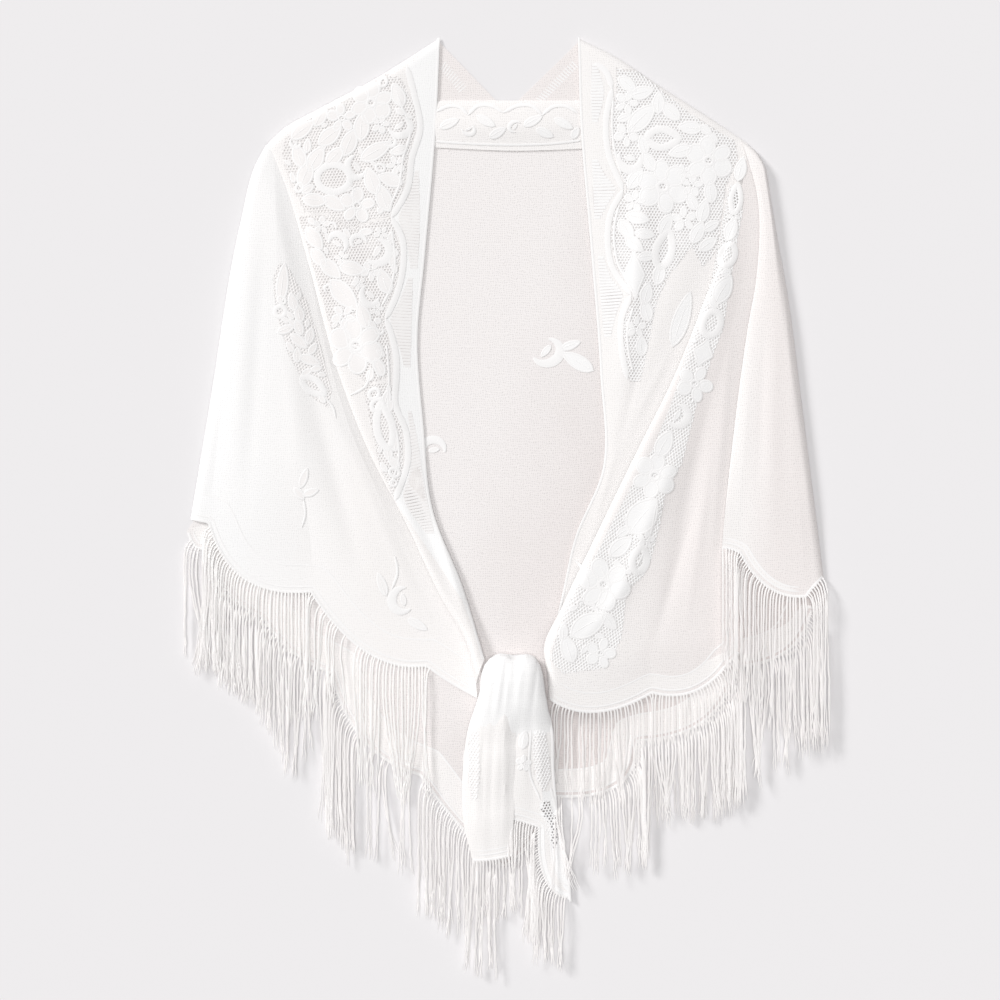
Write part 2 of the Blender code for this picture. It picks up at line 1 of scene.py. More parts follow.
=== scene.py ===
# %% [markdown]
# # A fringed lace shawl, laid flat with its fronts folded in
#
# The real shawl is one triangle of machine lace. Its middle is the back, its two halves are
# folded in as the fronts, its straight lace edge is turned over as two lapels, and the ends are
# tied in a knot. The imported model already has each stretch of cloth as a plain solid. This
# lesson dresses every solid: a thin sheet of cloth on the solid's own form, a real net of
# threads where the lace is open, raised flowers and scallops, hems, and a fringe of single
# strands. Nothing is moved away from where the solids are.

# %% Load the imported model
from collections import namedtuple

import bpy
import numpy as np
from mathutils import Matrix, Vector
from mathutils.bvhtree import BVHTree


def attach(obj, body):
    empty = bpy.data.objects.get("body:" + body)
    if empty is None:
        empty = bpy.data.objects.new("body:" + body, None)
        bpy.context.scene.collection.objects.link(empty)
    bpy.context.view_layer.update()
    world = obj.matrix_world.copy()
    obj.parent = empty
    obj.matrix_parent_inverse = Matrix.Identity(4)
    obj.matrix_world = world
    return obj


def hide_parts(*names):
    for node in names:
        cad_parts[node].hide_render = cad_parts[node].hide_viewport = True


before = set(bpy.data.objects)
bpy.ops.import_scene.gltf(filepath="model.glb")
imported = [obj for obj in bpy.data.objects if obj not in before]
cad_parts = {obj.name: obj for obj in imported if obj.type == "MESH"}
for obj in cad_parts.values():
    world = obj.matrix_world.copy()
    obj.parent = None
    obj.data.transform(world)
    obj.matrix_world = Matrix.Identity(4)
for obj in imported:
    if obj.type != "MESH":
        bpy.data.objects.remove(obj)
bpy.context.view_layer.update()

# %% [markdown]
# ## Millimetres
#
# Cloth work is easier to read in millimetres, so every table below is in millimetres as seen
# from above: +X to the right, +Y towards the neck, +Z up. Points are turned into metres at the
# moment when a mesh is made. What is left to chance comes from one seeded source, so the shawl
# comes out the same each time.

# %% Units and seeded chance
MM = 0.001
chance = np.random.default_rng(7)
print("one unit of the tables is", MM, "m")

# %% [markdown]
# ## Lines in the plane
#
# A hem, a fold or a row of scallops is a line seen from above. It could be a Blender curve, but
# here many pieces ask one line for points by the share of its length, so a small class of our
# own is simpler.

# %% A line
def lengths(points):
    """How far along a path each of its points lies."""
    return np.concatenate([[0.0], np.cumsum(np.linalg.norm(np.diff(points, axis=0), axis=1))])


class Line:
    """A line in the plane, read by the share of its length that has been passed."""

    def __init__(self, points, cusps=()):
        self.points = np.array(points, float)
        self.passed = lengths(self.points)
        self.length = self.passed[-1]
        self.cusps = [self.passed[number] / self.length for number in cusps]

    def at(self, share):
        goal = np.clip(share, 0, 1) * self.length
        return np.stack([np.interp(goal, self.passed, self.points[:, k]) for k in (0, 1)], axis=-1)

    def outward(self, share, reach=0.02):
        """Unit vectors square to the line, to the right of the way it runs."""
        along = self.at(np.asarray(share) + reach) - self.at(np.asarray(share) - reach)
        square = np.stack([along[..., 1], -along[..., 0]], axis=-1)
        return square / np.linalg.norm(square, axis=-1, keepdims=True)

    def spaced(self, step, start=0.0, end=1.0):
        """Shares about one step apart between two shares."""
        return np.linspace(start, end, max(2, int(self.length * abs(end - start) / step) + 1))


print("a line from corner to corner of a square is", Line([(0, 0), (1, 1)]).length, "sides long")

# %% [markdown]
# `smooth` bends a curve through a few places, and `scalloped` joins lobes at sharp cusps, which
# is how a lace hem is drawn. A lobe is the place of its cusp and of the belly before it.

# %% Curves and scallops
CURVE_STEPS = 12
LOBE_STEP = 5.0


def smooth(*places):
    """A smooth curve through a few places, its bend shared out by the distance between them."""
    knots = np.array(places, float)
    if len(knots) == 2:
        return Line(knots)
    padded = np.vstack([2 * knots[0] - knots[1], knots, 2 * knots[-1] - knots[-2]])
    runs = np.linalg.norm(np.diff(padded, axis=0), axis=1)[:, None]
    steps = np.diff(padded, axis=0) / runs
    slopes = (steps[1:] * runs[:-1] + steps[:-1] * runs[1:]) / (runs[:-1] + runs[1:])
    t = (np.arange(1, CURVE_STEPS + 1) / CURVE_STEPS)[:, None]
    points = [knots[:1]]
    for a, b, slope_a, slope_b, run in zip(knots, knots[1:], slopes, slopes[1:], runs[1:]):
        points.append(a * (1 + 2 * t) * (1 - t) ** 2 + b * t * t * (3 - 2 * t)
                      + slope_a * run * t * (1 - t) ** 2 - slope_b * run * t * t * (1 - t))
    return Line(np.vstack(points))


def scalloped(start, *lobes):
    """A line of lobes: each runs from the last cusp over its belly to its own cusp."""
    points = [np.array(start, float)]
    cusps = [0]
    for x, y, belly_x, belly_y in lobes:
        a, cusp = points[-1], np.array((x, y), float)
        pull = 2 * np.array((belly_x, belly_y)) - (a + cusp) / 2
        steps = max(4, round(np.linalg.norm(cusp - a) / LOBE_STEP))
        for t in np.arange(1, steps + 1) / steps:
            points.append(a * (1 - t) ** 2 + pull * 2 * t * (1 - t) + cusp * t * t)
        cusps.append(len(points) - 1)
    return Line(points, cusps)


print("three places give a curve of", len(smooth((0, 0), (1, 1), (2, 0)).points), "points")

# %% [markdown]
# ## The shawl's own lines
#
# These are the outlines of the solids, so the cloth that is made on them ends exactly where the
# solids end. Each line has only the places that its bend needs.

# %% Sides, folds and free edges
LEFT_SIDE = smooth((-205, 307), (-214, 290), (-226, 244), (-252, 91), (-269, -11))
LEFT_SHOULDER = smooth((-203, 309), (-190, 321), (-160, 338), (-113, 363), (-57, 398))
RIGHT_SHOULDER = smooth((60, 398), (94, 381), (127, 359), (180, 325), (205, 308))
RIGHT_SIDE = smooth((220, 288), (227, 244), (239, 176), (250, 91), (269, -60))

LEFT_FREE_EDGE = smooth((-57, 398), (-60, 329), (-70, 210), (-76, 142), (-71, 69), (-63, -3),
                        (-38, -67), (-19, -129))
LEFT_LAPEL_FOLD = smooth((-203, 309), (-190, 278), (-169, 208), (-145, 119), (-118, 48),
                         (-85, -16), (-57, -76), (-34, -118), (-26, -150))
LEFT_WING_INNER = smooth((-196, 298), (-179, 270), (-159, 205), (-135, 117), (-108, 47),
                         (-75, -16), (-47, -77), (-30, -121), (-25, -163))
RIGHT_FREE_EDGE = smooth((60, 398), (62, 329), (71, 218), (79, 113), (81, 32), (57, -28),
                         (47, -73), (40, -104))
RIGHT_LAPEL_INNER = smooth((205, 308), (201, 242), (178, 175), (146, 102), (123, 51), (85, -26),
                           (62, -75), (50, -100))
RIGHT_RIDGE = smooth((203, 294), (192, 238), (168, 176), (138, 103), (113, 53), (74, -27),
                     (46, -86), (31, -121), (34, -142), (35, -163))
RIGHT_FRONT_INNER = smooth((216, 282), (219, 193), (215, 146), (207, 91), (201, 45), (196, -12),
                           (198, -124))
RIGHT_WING_INNER = smooth((199, 311), (212, 262), (211, 193), (204, 152), (196, 95), (190, 45),
                          (184, -12), (182, -36))
print("the left side is", round(LEFT_SIDE.length), "mm long")

# %% [markdown]
# The hems are rows of lobes. The pointed end's left edge is plain down to its first lobe, so it
# is drawn as one long flat lobe and shares the other two with the hem.

# %% Hems
LEFT_HEM = scalloped((-269, -11), (-254, -14, -261, -13), (-167, -73, -223, -62),
                     (-69, -136, -120, -124), (-25, -163, -47, -151))
RIGHT_FRONT_HEM = scalloped((35, -163), (123, -159, 75, -175), (188, -134, 159, -158),
                            (198, -124, 194, -129))
RIGHT_WING_HEM = scalloped((182, -36), (197, -40, 190, -37), (254, -77, 222, -70),
                           (269, -60, 260, -69))
BACK_HEM_LEFT = scalloped((-272, -21), (-264, -36, -269, -30), (-253, -36, -258, -37),
                          (-208, -95, -237, -73), (-150, -142, -183, -124),
                          (-74, -229, -123, -199), (-3, -307, -40, -273))
BACK_HEM_RIGHT = scalloped((-3, -307), (39, -247, 21, -285), (111, -200, 94, -238),
                           (194, -137, 168, -183), (259, -90, 238, -124), (272, -84, 266, -91))
WIDE_TAIL_HEM = scalloped((-29, -301), (5, -296, -14, -300))
POINTED_TAIL_LOBES = [(26, -272, 14, -268), (51, -333, 31, -315)]
POINTED_TAIL_HEM = scalloped((-1, -264), *POINTED_TAIL_LOBES)
POINTED_TAIL_LEFT = scalloped((2, -165), (-1, -264, -3, -212), *POINTED_TAIL_LOBES)
print("the left front's hem is", round(LEFT_HEM.length), "mm long")

# %% [markdown]
# ## The form of each panel
#
# A panel is the space between four lines, filled by a Coons patch. Each row of `rises` is a
# share of the way from its head (0) to its foot (1), and the height of the middle of its wall at
# its left edge, its middle and its right edge. On top come soft ridges and troughs, placed in
# uneven sizes, as cloth that was smoothed by hand keeps them: each row of `folds` is where one
# starts, where it ends, its height and its width. A cloth simulation could find such folds too,
# but it would drift away from the solids and from this layout.
#
# Turned sides come down to the height given. A tucked panel is flat along its right side, where
# others cover it. Pleats fade out towards the left by the share given.

# %% What a panel is
Panel = namedtuple("Panel", "head foot left right rises folds turned tucked pleat_fade",
                   defaults=[(), {}, False, None])
PANELS = {}
FLOOR_EDGE = 0.6
NECK_FOLD = 345.0
print("a cloth's middle lies", FLOOR_EDGE, "mm above the table where it touches it")

# %% [markdown]
# The left front: a wing that hangs to the side, and the lace lapel folded over it.

# %% Left front
PANELS["left_wing"] = Panel(
    head=smooth((-205, 307), (-200, 308), (-196, 298)),
    foot=LEFT_HEM, left=LEFT_SIDE, right=LEFT_WING_INNER,
    rises=[(0.0, 3.5, 3.2, 2.4), (0.3, 5.0, 8.5, 2.5), (0.7, 5.5, 9.5, 2.5), (1.0, 3.6, 3.4, 2.4)],
    folds=[(-215, 270, -232, 20, 1.3, 16), (-180, 150, -120, -70, -1.7, 14),
           (-224, 262, -243, 60, 0.6, 9), (-205, 240, -222, -20, -0.55, 10),
           (-186, 190, -172, -40, 0.47, 12), (-150, 90, -70, -100, 0.51, 8),
           (-120, 30, -50, -118, -0.47, 6), (-168, 230, -140, 96, -0.51, 6)],
    turned={"left": FLOOR_EDGE}, tucked=True)
PANELS["left_lapel"] = Panel(
    head=LEFT_SHOULDER, foot=smooth((-26, -150), (-23.5, -140), (-19, -129)),
    left=LEFT_LAPEL_FOLD, right=LEFT_FREE_EDGE,
    rises=[(0.0, 5.5, 6.6, 2.4), (0.25, 6.5, 6.4, 2.2), (0.6, 7.0, 5.2, 2.1),
           (0.9, 8.5, 9.0, 5.2), (1.0, 10.0, 13.0, 10.0)],
    folds=[(-150, 250, -88, 60, 2.2, 14), (-95, 40, -38, -95, -2.2, 9),
           (-178, 300, -150, 180, 1, 8), (-128, 330, -120, 200, -0.77, 9),
           (-92, 370, -88, 250, 0.77, 7), (-130, 170, -95, 50, 0.77, 6),
           (-70, 20, -30, -110, 0.85, 5)],
    turned={"head": FLOOR_EDGE, "left": 4.8})
print("left front:", list(PANELS))

# %% [markdown]
# The right front has three stretches: its lapel, the front that is wrapped to the side over it
# with a raised ridge, and the wing beside that.

# %% Right front
PANELS["right_lapel"] = Panel(
    head=RIGHT_SHOULDER, foot=smooth((40, -104), (45, -103), (50, -100)),
    left=RIGHT_FREE_EDGE, right=RIGHT_LAPEL_INNER,
    rises=[(0.0, 5.5, 6.0, 2.8), (0.25, 5.0, 6.5, 2.6), (0.6, 3.4, 4.6, 2.6),
           (0.9, 4.5, 3.8, 2.6), (1.0, 6.0, 4.4, 2.8)],
    folds=[(120, 290, 96, 90, 2.5, 14), (150, 280, 120, 160, -0.77, 9), (142, 140, 106, 66, 0.85, 6),
           (126, 170, 92, 40, -0.66, 6), (96, 60, 62, -60, 0.72, 5)],
    turned={"head": FLOOR_EDGE}, tucked=True)
PANELS["right_front"] = Panel(
    head=smooth((203, 294), (210, 289), (216, 282)),
    foot=RIGHT_FRONT_HEM, left=RIGHT_RIDGE, right=RIGHT_FRONT_INNER,
    rises=[(0.0, 5.4, 4.8, 4.2), (0.3, 10.0, 5.5, 3.0), (0.65, 11.0, 5.0, 2.6),
           (0.9, 13.0, 6.5, 2.6), (1.0, 12.0, 3.4, 2.6)],
    folds=[(150, 60, 80, -110, 2.5, 12), (178, 120, 128, -120, -1.8, 12),
           (190, 150, 172, -60, 0.84, 7), (176, 60, 150, -110, 0.59, 7),
           (166, 20, 120, -130, -0.55, 6), (120, -40, 44, -140, 0.7, 7)],
    turned={"left": 5.6}, tucked=True)
PANELS["right_wing"] = Panel(
    head=smooth((199, 311), (210, 303), (220, 288)),
    foot=RIGHT_WING_HEM, left=RIGHT_WING_INNER, right=RIGHT_SIDE,
    rises=[(0.0, 5.4, 8.0, 8.4), (0.15, 7.6, 8.6, 8.6), (0.35, 7.6, 9.2, 8.6),
           (0.75, 7.6, 9.2, 8.6), (1.0, 5.4, 5.6, 5.6)],
    folds=[(228, 200, 222, -40, 0.8, 12), (236, 190, 244, 0, 0.46, 8),
           (218, 160, 212, 0, -0.46, 6), (206, 120, 196, -20, 0.39, 5)],
    turned={"head": FLOOR_EDGE, "right": FLOOR_EDGE, "left": 6.0})
print("with the right front:", list(PANELS))

# %% [markdown]
# The neck band is the back's own edge folded forward. The two tails are the shawl's ends, still
# gathered from the knot above them, so they have pleats as well as folds.

# %% Neck band and tails
PANELS["neck_fold_band"] = Panel(
    head=smooth((-65, NECK_FOLD), (68, NECK_FOLD)), foot=smooth((-65, 305), (10, 302), (68, 304)),
    left=smooth((-65, NECK_FOLD), (-65, 305)), right=smooth((68, NECK_FOLD), (68, 304)),
    rises=[(0.0, 2.3, 3.0, 2.3), (0.5, 2.4, 4.6, 2.4), (1.0, 1.6, 1.8, 1.6)],
    turned={"head": FLOOR_EDGE})
PANELS["tail_wide"] = Panel(
    head=smooth((-25, -165), (-8, -167), (9, -165)), foot=WIDE_TAIL_HEM,
    left=smooth((-25, -165), (-32, -184), (-37, -217), (-37, -268), (-29, -301)),
    right=smooth((9, -165), (6.5, -215), (5.5, -266), (5, -296)),
    rises=[(0.0, 12.0, 18.5, 17.0), (0.3, 8.5, 14.5, 13.5), (0.7, 6.0, 9.6, 9.0),
           (1.0, 4.8, 6.4, 6.2)],
    folds=[(-22, -160, -27, -290, 0.7, 2.6), (-15, -160, -19, -285, 0.8, 2.2),
           (-8, -160, -11, -270, 0.7, 2.2), (-1, -160, -3, -290, 0.8, 2.6)],
    pleat_fade=0.0)
PANELS["tail_pointed"] = Panel(
    head=smooth((2, -165), (18, -166), (32, -163)), foot=smooth((51, -333), (55, -335)),
    left=POINTED_TAIL_LEFT,
    right=smooth((32, -163), (38, -184), (40, -223), (44, -266), (48, -292), (53, -316), (55, -335)),
    rises=[(0.0, 15.0, 16.0, 13.0), (0.15, 12.5, 13.5, 10.5), (0.6, 7.0, 7.0, 5.5),
           (1.0, 3.0, 3.4, 3.4)],
    folds=[(12, -160, 16, -250, 0.6, 3.0), (24, -160, 32, -280, 0.6, 3.4)],
    pleat_fade=1.0)
print("panels:", len(PANELS), "with", sum(len(panel.folds) for panel in PANELS.values()), "folds")

# %% [markdown]
# The surface is worked out with arrays, a whole grid at a time, because Python is slow point by
# point. First the parts of a height: the bow of the panel, one fold, and a turned-down edge.

# %% Heights
TURN = 9.0


def eased(t):
    """A share from 0 to 1 that starts and ends softly."""
    return t * t * (3 - 2 * t)


def between(rises, across, along):
    """Height from a panel's rise rows: smooth along the panel, an even bow across it."""
    rows = np.array(rises, float)
    low = np.clip(np.searchsorted(rows[:, 0], along, side="left") - 1, 0, len(rows) - 2)
    here, there = rows[low], rows[low + 1]
    t = np.clip((along - here[..., 0]) / (there[..., 0] - here[..., 0]), 0, 1)
    left, middle, right = np.moveaxis(here + (there - here) * eased(t)[..., None], -1, 0)[1:]
    return left + (right - left) * across + (middle - (left + right) / 2) * 4 * across * (1 - across)


def fold_height(x, y, from_x, from_y, to_x, to_y, height, width):
    """A soft ridge, or a trough where its height is negative, that dies away at both ends."""
    run_x, run_y = to_x - from_x, to_y - from_y
    length = np.hypot(run_x, run_y)
    along = ((x - from_x) * run_x + (y - from_y) * run_y) / length ** 2
    aside = ((x - from_x) * run_y - (y - from_y) * run_x) / length
    return height * np.sin(np.pi * np.clip(along, 0, 1)) / (1 + (aside / width) ** 2) ** 2


def folded_down(height, low, distance):
    """Height of cloth that turns down to a lower edge, some distance in from that edge."""
    near = np.clip(distance / TURN, 0, 1)
    return np.where(height > low, low + (height - low) * np.sqrt(1 - (1 - near) ** 2), height)


halfway = float(folded_down(1.0, 0.0, TURN / 2))
print("halfway round a turned edge the cloth is up by", round(halfway, 2), "of its height")

# %% [markdown]
# Then the whole panel: its place in the plane is blended from its four edges, and its height is
# the bow with the folds and pleats on it, pressed flat where it is tucked or turned.

# %% The surface of a panel
TUCK = 40.0
PLEAT_COUNT, PLEAT_AT_KNOT, PLEAT_AT_HEM = 2, 0.6, 0.2


def panel_surface(panel, across, along):
    """Points in the middle of a panel's wall, for arrays of shares across and along it."""
    head, foot = panel.head.at(across), panel.foot.at(across)
    left, right = panel.left.at(along), panel.right.at(along)
    u, v = across[..., None], along[..., None]
    corners = ((1 - u) * (1 - v) * panel.head.at(0) + u * (1 - v) * panel.head.at(1)
               + (1 - u) * v * panel.foot.at(0) + u * v * panel.foot.at(1))
    place = (1 - v) * head + v * foot + (1 - u) * left + u * right - corners
    x, y = place[..., 0], place[..., 1]
    height = between(panel.rises, across, along)
    for fold in panel.folds:
        height = height + fold_height(x, y, *fold)
    if panel.pleat_fade is not None:
        depth = PLEAT_AT_KNOT + (PLEAT_AT_HEM - PLEAT_AT_KNOT) * along
        depth = depth * (1 - panel.pleat_fade * (1 - across))
        uneven = across + 0.05 * np.sin(9 * across + 2 * along) + 0.03 * np.sin(21 * across)
        height = height + depth * (1 - np.cos(2 * np.pi * PLEAT_COUNT * uneven))
    if panel.tucked:
        flatter = np.clip(np.linalg.norm(place - right, axis=-1) / TUCK, 0, 1)
        hidden = between(panel.rises, np.ones_like(across), along)
        height = hidden + (height - hidden) * eased(flatter)
    edges = {"head": head, "left": left, "right": right}
    for side, low in panel.turned.items():
        height = folded_down(height, low, np.linalg.norm(place - edges[side], axis=-1))
    return np.stack([x, y, height], axis=-1)


middle_of_wing = panel_surface(PANELS["left_wing"], np.array([0.5]), np.array([0.5]))[0]
print("the middle of the left wing is at", middle_of_wing.round(1))

# %% [markdown]
# ## A sheet that other things can be laid on
#
# `Cloth` keeps a panel as a grid of points. It can say how high it is under any place, by
# dropping a ray on itself, so threads, flowers and hems are drawn flat and then laid on the
# cloth. That is how a maker thinks of them too: worked flat, then lying in the folds. A grid may
# also close on itself, which cords, the knot and the plies of the fringe need later.

# %% The cloth class
ABOVE_ALL = 100.0
USUAL_HEIGHT = 3.0


def quads_of(rows, columns, ring_rows=False, ring_columns=False):
    """Corner numbers of the squares of a grid, which may close on itself either way."""
    row = np.arange(rows if ring_rows else rows - 1)[:, None]
    column = np.arange(columns if ring_columns else columns - 1)
    here, below = row * columns, (row + 1) % rows * columns
    after = (column + 1) % columns
    return np.stack([here + column, here + after, below + after, below + column], axis=-1).reshape(-1, 4)


class Cloth:
    """A grid of points in the plane and their heights, that other pieces are laid on."""

    def __init__(self, name, grid):
        self.name = name
        self.points = grid.reshape(-1, 3)
        self.quads = quads_of(*grid.shape[:2])
        self.tree = BVHTree.FromPolygons(self.points.tolist(), self.quads.tolist())
        print(name, "has a grid of", grid.shape[:2])

    def height(self, x, y):
        """How high the cloth is at a place, or None where it has none."""
        hit = self.tree.ray_cast(Vector((x, y, ABOVE_ALL)), Vector((0, 0, -1)))[0]
        return None if hit is None else hit.z

    def under(self, flat):
        """True for the places of the plane that this cloth covers."""
        return np.array([self.height(x, y) is not None for x, y in np.reshape(flat, (-1, 2))])

    def laid(self, flat, lift=0.0):
        """Points of the plane laid on this cloth or its nearest edge, and lifted a little."""
        flat = np.reshape(flat, (-1, 2)).astype(float)
        heights = [self.height(x, y) for x, y in flat]
        for number, height in enumerate(heights):
            if height is None:
                nearest = self.tree.find_nearest(Vector((*flat[number], USUAL_HEIGHT)))[0]
                heights[number] = nearest.z
        return np.column_stack([flat, np.array(heights) + lift])


print("a grid of 3 by 4 points has", len(quads_of(3, 4)), "squares")


# %% [markdown]
# The grid has one line on each cusp of the hem, so that the scallops stay sharp, and more lines
# beside a turned-down side, so that the turn is round.

# %% Cloth for the panels
GRID_STEP = 2.0
CLOSE_SHARES = np.array([0.002, 0.006, 0.012, 0.02, 0.03])


def shares(count, close_at_start=False, close_at_end=False, cusps=()):
    """Shares from 0 to 1: one on each cusp, even between them, more beside a turned-down side."""
    values = set(np.linspace(0, 1, count + 1)) | set(cusps)
    close = CLOSE_SHARES * 100 / max(count, 100)
    if close_at_start:
        values |= set(close)
    if close_at_end:
        values |= set(1 - close)
    return np.array(sorted(values))


def panel_cloth(name, panel):
    width = max(panel.head.length, panel.foot.length)
    height = max(panel.left.length, panel.right.length)
    across = shares(round(width / GRID_STEP), "left" in panel.turned, "right" in panel.turned,
                    panel.foot.cusps)
    along = shares(round(height / GRID_STEP), "head" in panel.turned, cusps=panel.left.cusps)
    return Cloth(name, panel_surface(panel, *np.meshgrid(across, along)))


cloths = {name: panel_cloth(name, panel) for name, panel in PANELS.items()}

# %% [markdown]
# ## The back
#
# The back lies dead flat, inside the folded sides. Its upper edge runs along both shoulders and
# the neck fold, and its lower edge is its own scalloped hem.

# %% The back's sheet
BACK_INSET, SHOULDER_INSET = 3.0, 4.0


def moved_in(line, start, end, distance):
    """A stretch of a line, moved sideways."""
    stretch = Line(line.at(np.linspace(start, end, 25)))
    share = np.linspace(0, 1, 21)
    return stretch.at(share) + stretch.outward(share) * distance


def back_cloth():
    neck, level = NECK_FOLD - SHOULDER_INSET, [FLOOR_EDGE] * 3
    left_shoulder = moved_in(LEFT_SHOULDER, 0, 0.87, SHOULDER_INSET)
    right_shoulder = moved_in(RIGHT_SHOULDER, 0.13, 1, SHOULDER_INSET)
    hem = np.vstack([BACK_HEM_LEFT.points, BACK_HEM_RIGHT.points[1:]])
    foot = Line(hem)
    cusps = [share * BACK_HEM_LEFT.length / foot.length for share in BACK_HEM_LEFT.cusps]
    cusps += [(BACK_HEM_LEFT.length + share * BACK_HEM_RIGHT.length) / foot.length
              for share in BACK_HEM_RIGHT.cusps]
    flat = Panel(
        head=Line(np.vstack([left_shoulder, [(-72, neck)], [(75, neck)], right_shoulder])), foot=foot,
        left=Line(np.vstack([left_shoulder[:1], moved_in(LEFT_SIDE, 0.03, 1, -BACK_INSET), hem[:1]])),
        right=Line(np.vstack([right_shoulder[-1:], moved_in(RIGHT_SIDE, 0, 1, BACK_INSET), hem[-1:]])),
        rises=[(0, *level), (1, *level)])
    return Cloth("back_panel", panel_surface(flat, *np.meshgrid(shares(260, cusps=cusps), shares(300))))


cloths["back_panel"] = back_cloth()

# %% [markdown]
# From the neck fold up to each neck point a narrow edge of the back shows. It is a flat sheet
# between a slanting line and the lapel's hidden side.

# %% The two neck edges
NECK_LOW = NECK_FOLD - 1.5
for name, point_x, low_x, hidden_x, side_x in (("neck_edge_left", -57, -8, -64, -69),
                                               ("neck_edge_right", 60, 8, 67, 72)):
    share = np.linspace(0, 1, 25)
    down = share[:, None, None]
    slanting = smooth((point_x, 394), (low_x, NECK_LOW)).at(share)
    hidden = Line([(hidden_x, 389), (side_x, 384), (side_x, NECK_LOW)]).at(share)
    flat = slanting * (1 - down) + hidden * down
    cloths[name] = Cloth(name, np.dstack([flat, np.full(flat.shape[:2], FLOOR_EDGE)]))

# %% [markdown]
# ## White on white: the materials
#
# The whole shawl is one off-white yarn, so its materials differ only in how densely the yarn is
# worked. Plain cloth is a fine open weave that lets a little of what lies below show through.
# Lace threads, flowers and hems are solid yarn with fine stitches. The fringe is twisted yarn.
# Each is a small node tree. Fine holes in the weave are transparency, since thousands of them
# are far too small to model. All patterns run in millimetres on the cloth, from its UV map.

# %% Node helpers
def new_material(name, colour, roughness, sheen):
    material = bpy.data.materials.new(name)
    material.use_nodes = True
    shader = material.node_tree.nodes["Principled BSDF"]
    shader.inputs["Base Color"].default_value = colour
    shader.inputs["Roughness"].default_value = roughness
    shader.inputs["Specular IOR Level"].default_value = 0.25
    shader.inputs["Sheen Weight"].default_value = sheen
    shader.inputs["Sheen Roughness"].default_value = 0.4
    return material, shader


def feed(tree, socket, value):
    """Link an input to another node's socket, or give it a value."""
    if isinstance(value, bpy.types.NodeSocket):
        tree.links.new(value, socket)
    else:
        socket.default_value = value


def math_node(tree, operation, *values, clamp=False):
    """A Math node on sockets or numbers; returns its result."""
    node = tree.nodes.new("ShaderNodeMath")
    node.operation = operation
    node.use_clamp = clamp
    for socket, value in zip(node.inputs, values):
        feed(tree, socket, value)
    return node.outputs[0]


def blended(tree, a, b, amount):
    """One colour or colour socket blended to another by a 0 to 1 socket."""
    mix = tree.nodes.new("ShaderNodeMix")
    mix.data_type = "RGBA"
    for name, value in (("A", a), ("B", b), ("Factor", amount)):
        feed(tree, mix.inputs[name], value)
    return mix.outputs["Result"]


def darker(colour, share):
    return tuple(part * share for part in colour[:3]) + (1.0,)


print("white at half its brightness is", darker((1, 1, 1), 0.5))

# %% [markdown]
# Every pattern starts from the place on the cloth. A wave makes rows of threads, and noise makes
# them uneven.

# %% Pattern helpers
def cloth_place(tree):
    """Sockets for a place on the cloth, across and along it, in millimetres."""
    spot = tree.nodes.new("ShaderNodeUVMap")
    spot.uv_map = "cloth"
    parts = tree.nodes.new("ShaderNodeSeparateXYZ")
    tree.links.new(spot.outputs["UV"], parts.inputs[0])
    return parts.outputs["X"], parts.outputs["Y"], spot.outputs["UV"]


def wave(tree, place, pitch):
    """A smooth 0 to 1 wave with that pitch in millimetres."""
    turns = math_node(tree, "MULTIPLY", place, 2 * np.pi / pitch)
    return math_node(tree, "MULTIPLY_ADD", math_node(tree, "SINE", turns), 0.5, 0.5)


def noise(tree, vector, stretch, detail=2.0):
    """Noise 0 to 1 whose grains are 1/stretch long across and along the cloth."""
    scaled = tree.nodes.new("ShaderNodeVectorMath")
    scaled.operation = "MULTIPLY"
    tree.links.new(vector, scaled.inputs[0])
    scaled.inputs[1].default_value = (*stretch, 1.0)
    node = tree.nodes.new("ShaderNodeTexNoise")
    node.inputs["Scale"].default_value = 1.0
    node.inputs["Detail"].default_value = detail
    tree.links.new(scaled.outputs[0], node.inputs["Vector"])
    return node.outputs["Fac"]


def bumped(tree, shader, height, distance, strength):
    """Raise and sink the surface in the light by a height socket, over some millimetres."""
    bump = tree.nodes.new("ShaderNodeBump")
    bump.inputs["Distance"].default_value = distance * MM
    bump.inputs["Strength"].default_value = strength
    tree.links.new(height, bump.inputs["Height"])
    tree.links.new(bump.outputs["Normal"], shader.inputs["Normal"])


print("patterns are made of waves and noise, in millimetres on the cloth")

# %% [markdown]
# The plain cloth: short uneven rows of thread with tiny holes between them. Noise bends the rows
# and gives the thicker stretches, or slubs, that run across. Between the threads the cloth has
# painted shade, as dark as its tone says. Where one layer lies alone on the table it is duller
# and pinker than where two or three lie together, partly for the table seen through it and
# partly as painted shade. Each stretch has its own tone of the same yarn, which goes from `near`
# to `far` between two places across the shawl. That change is painted light and shade: lighter
# at the left of the left wing, which faces the light, and darker and pinker where the right
# sides turn away from it and where the back lies in the shade of the fronts and the knot.
# `down` slants that change, and noise with grains of 1/`patch` makes it `cloudy`.

# %% Plain cloth
Tone = namedtuple("Tone", "near far start end openness grain down patch cloudy",
                  defaults=[0.0, (0.02, 0.01), 0.5])
ROW_PITCH, UPRIGHT_PITCH = 1.9, 1.8
DRIFT, DRIFT_GRAIN = 5.0, (0.13, 0.17)
SLUB, SLUB_GRAIN = 3.4, (0.55, 0.8)


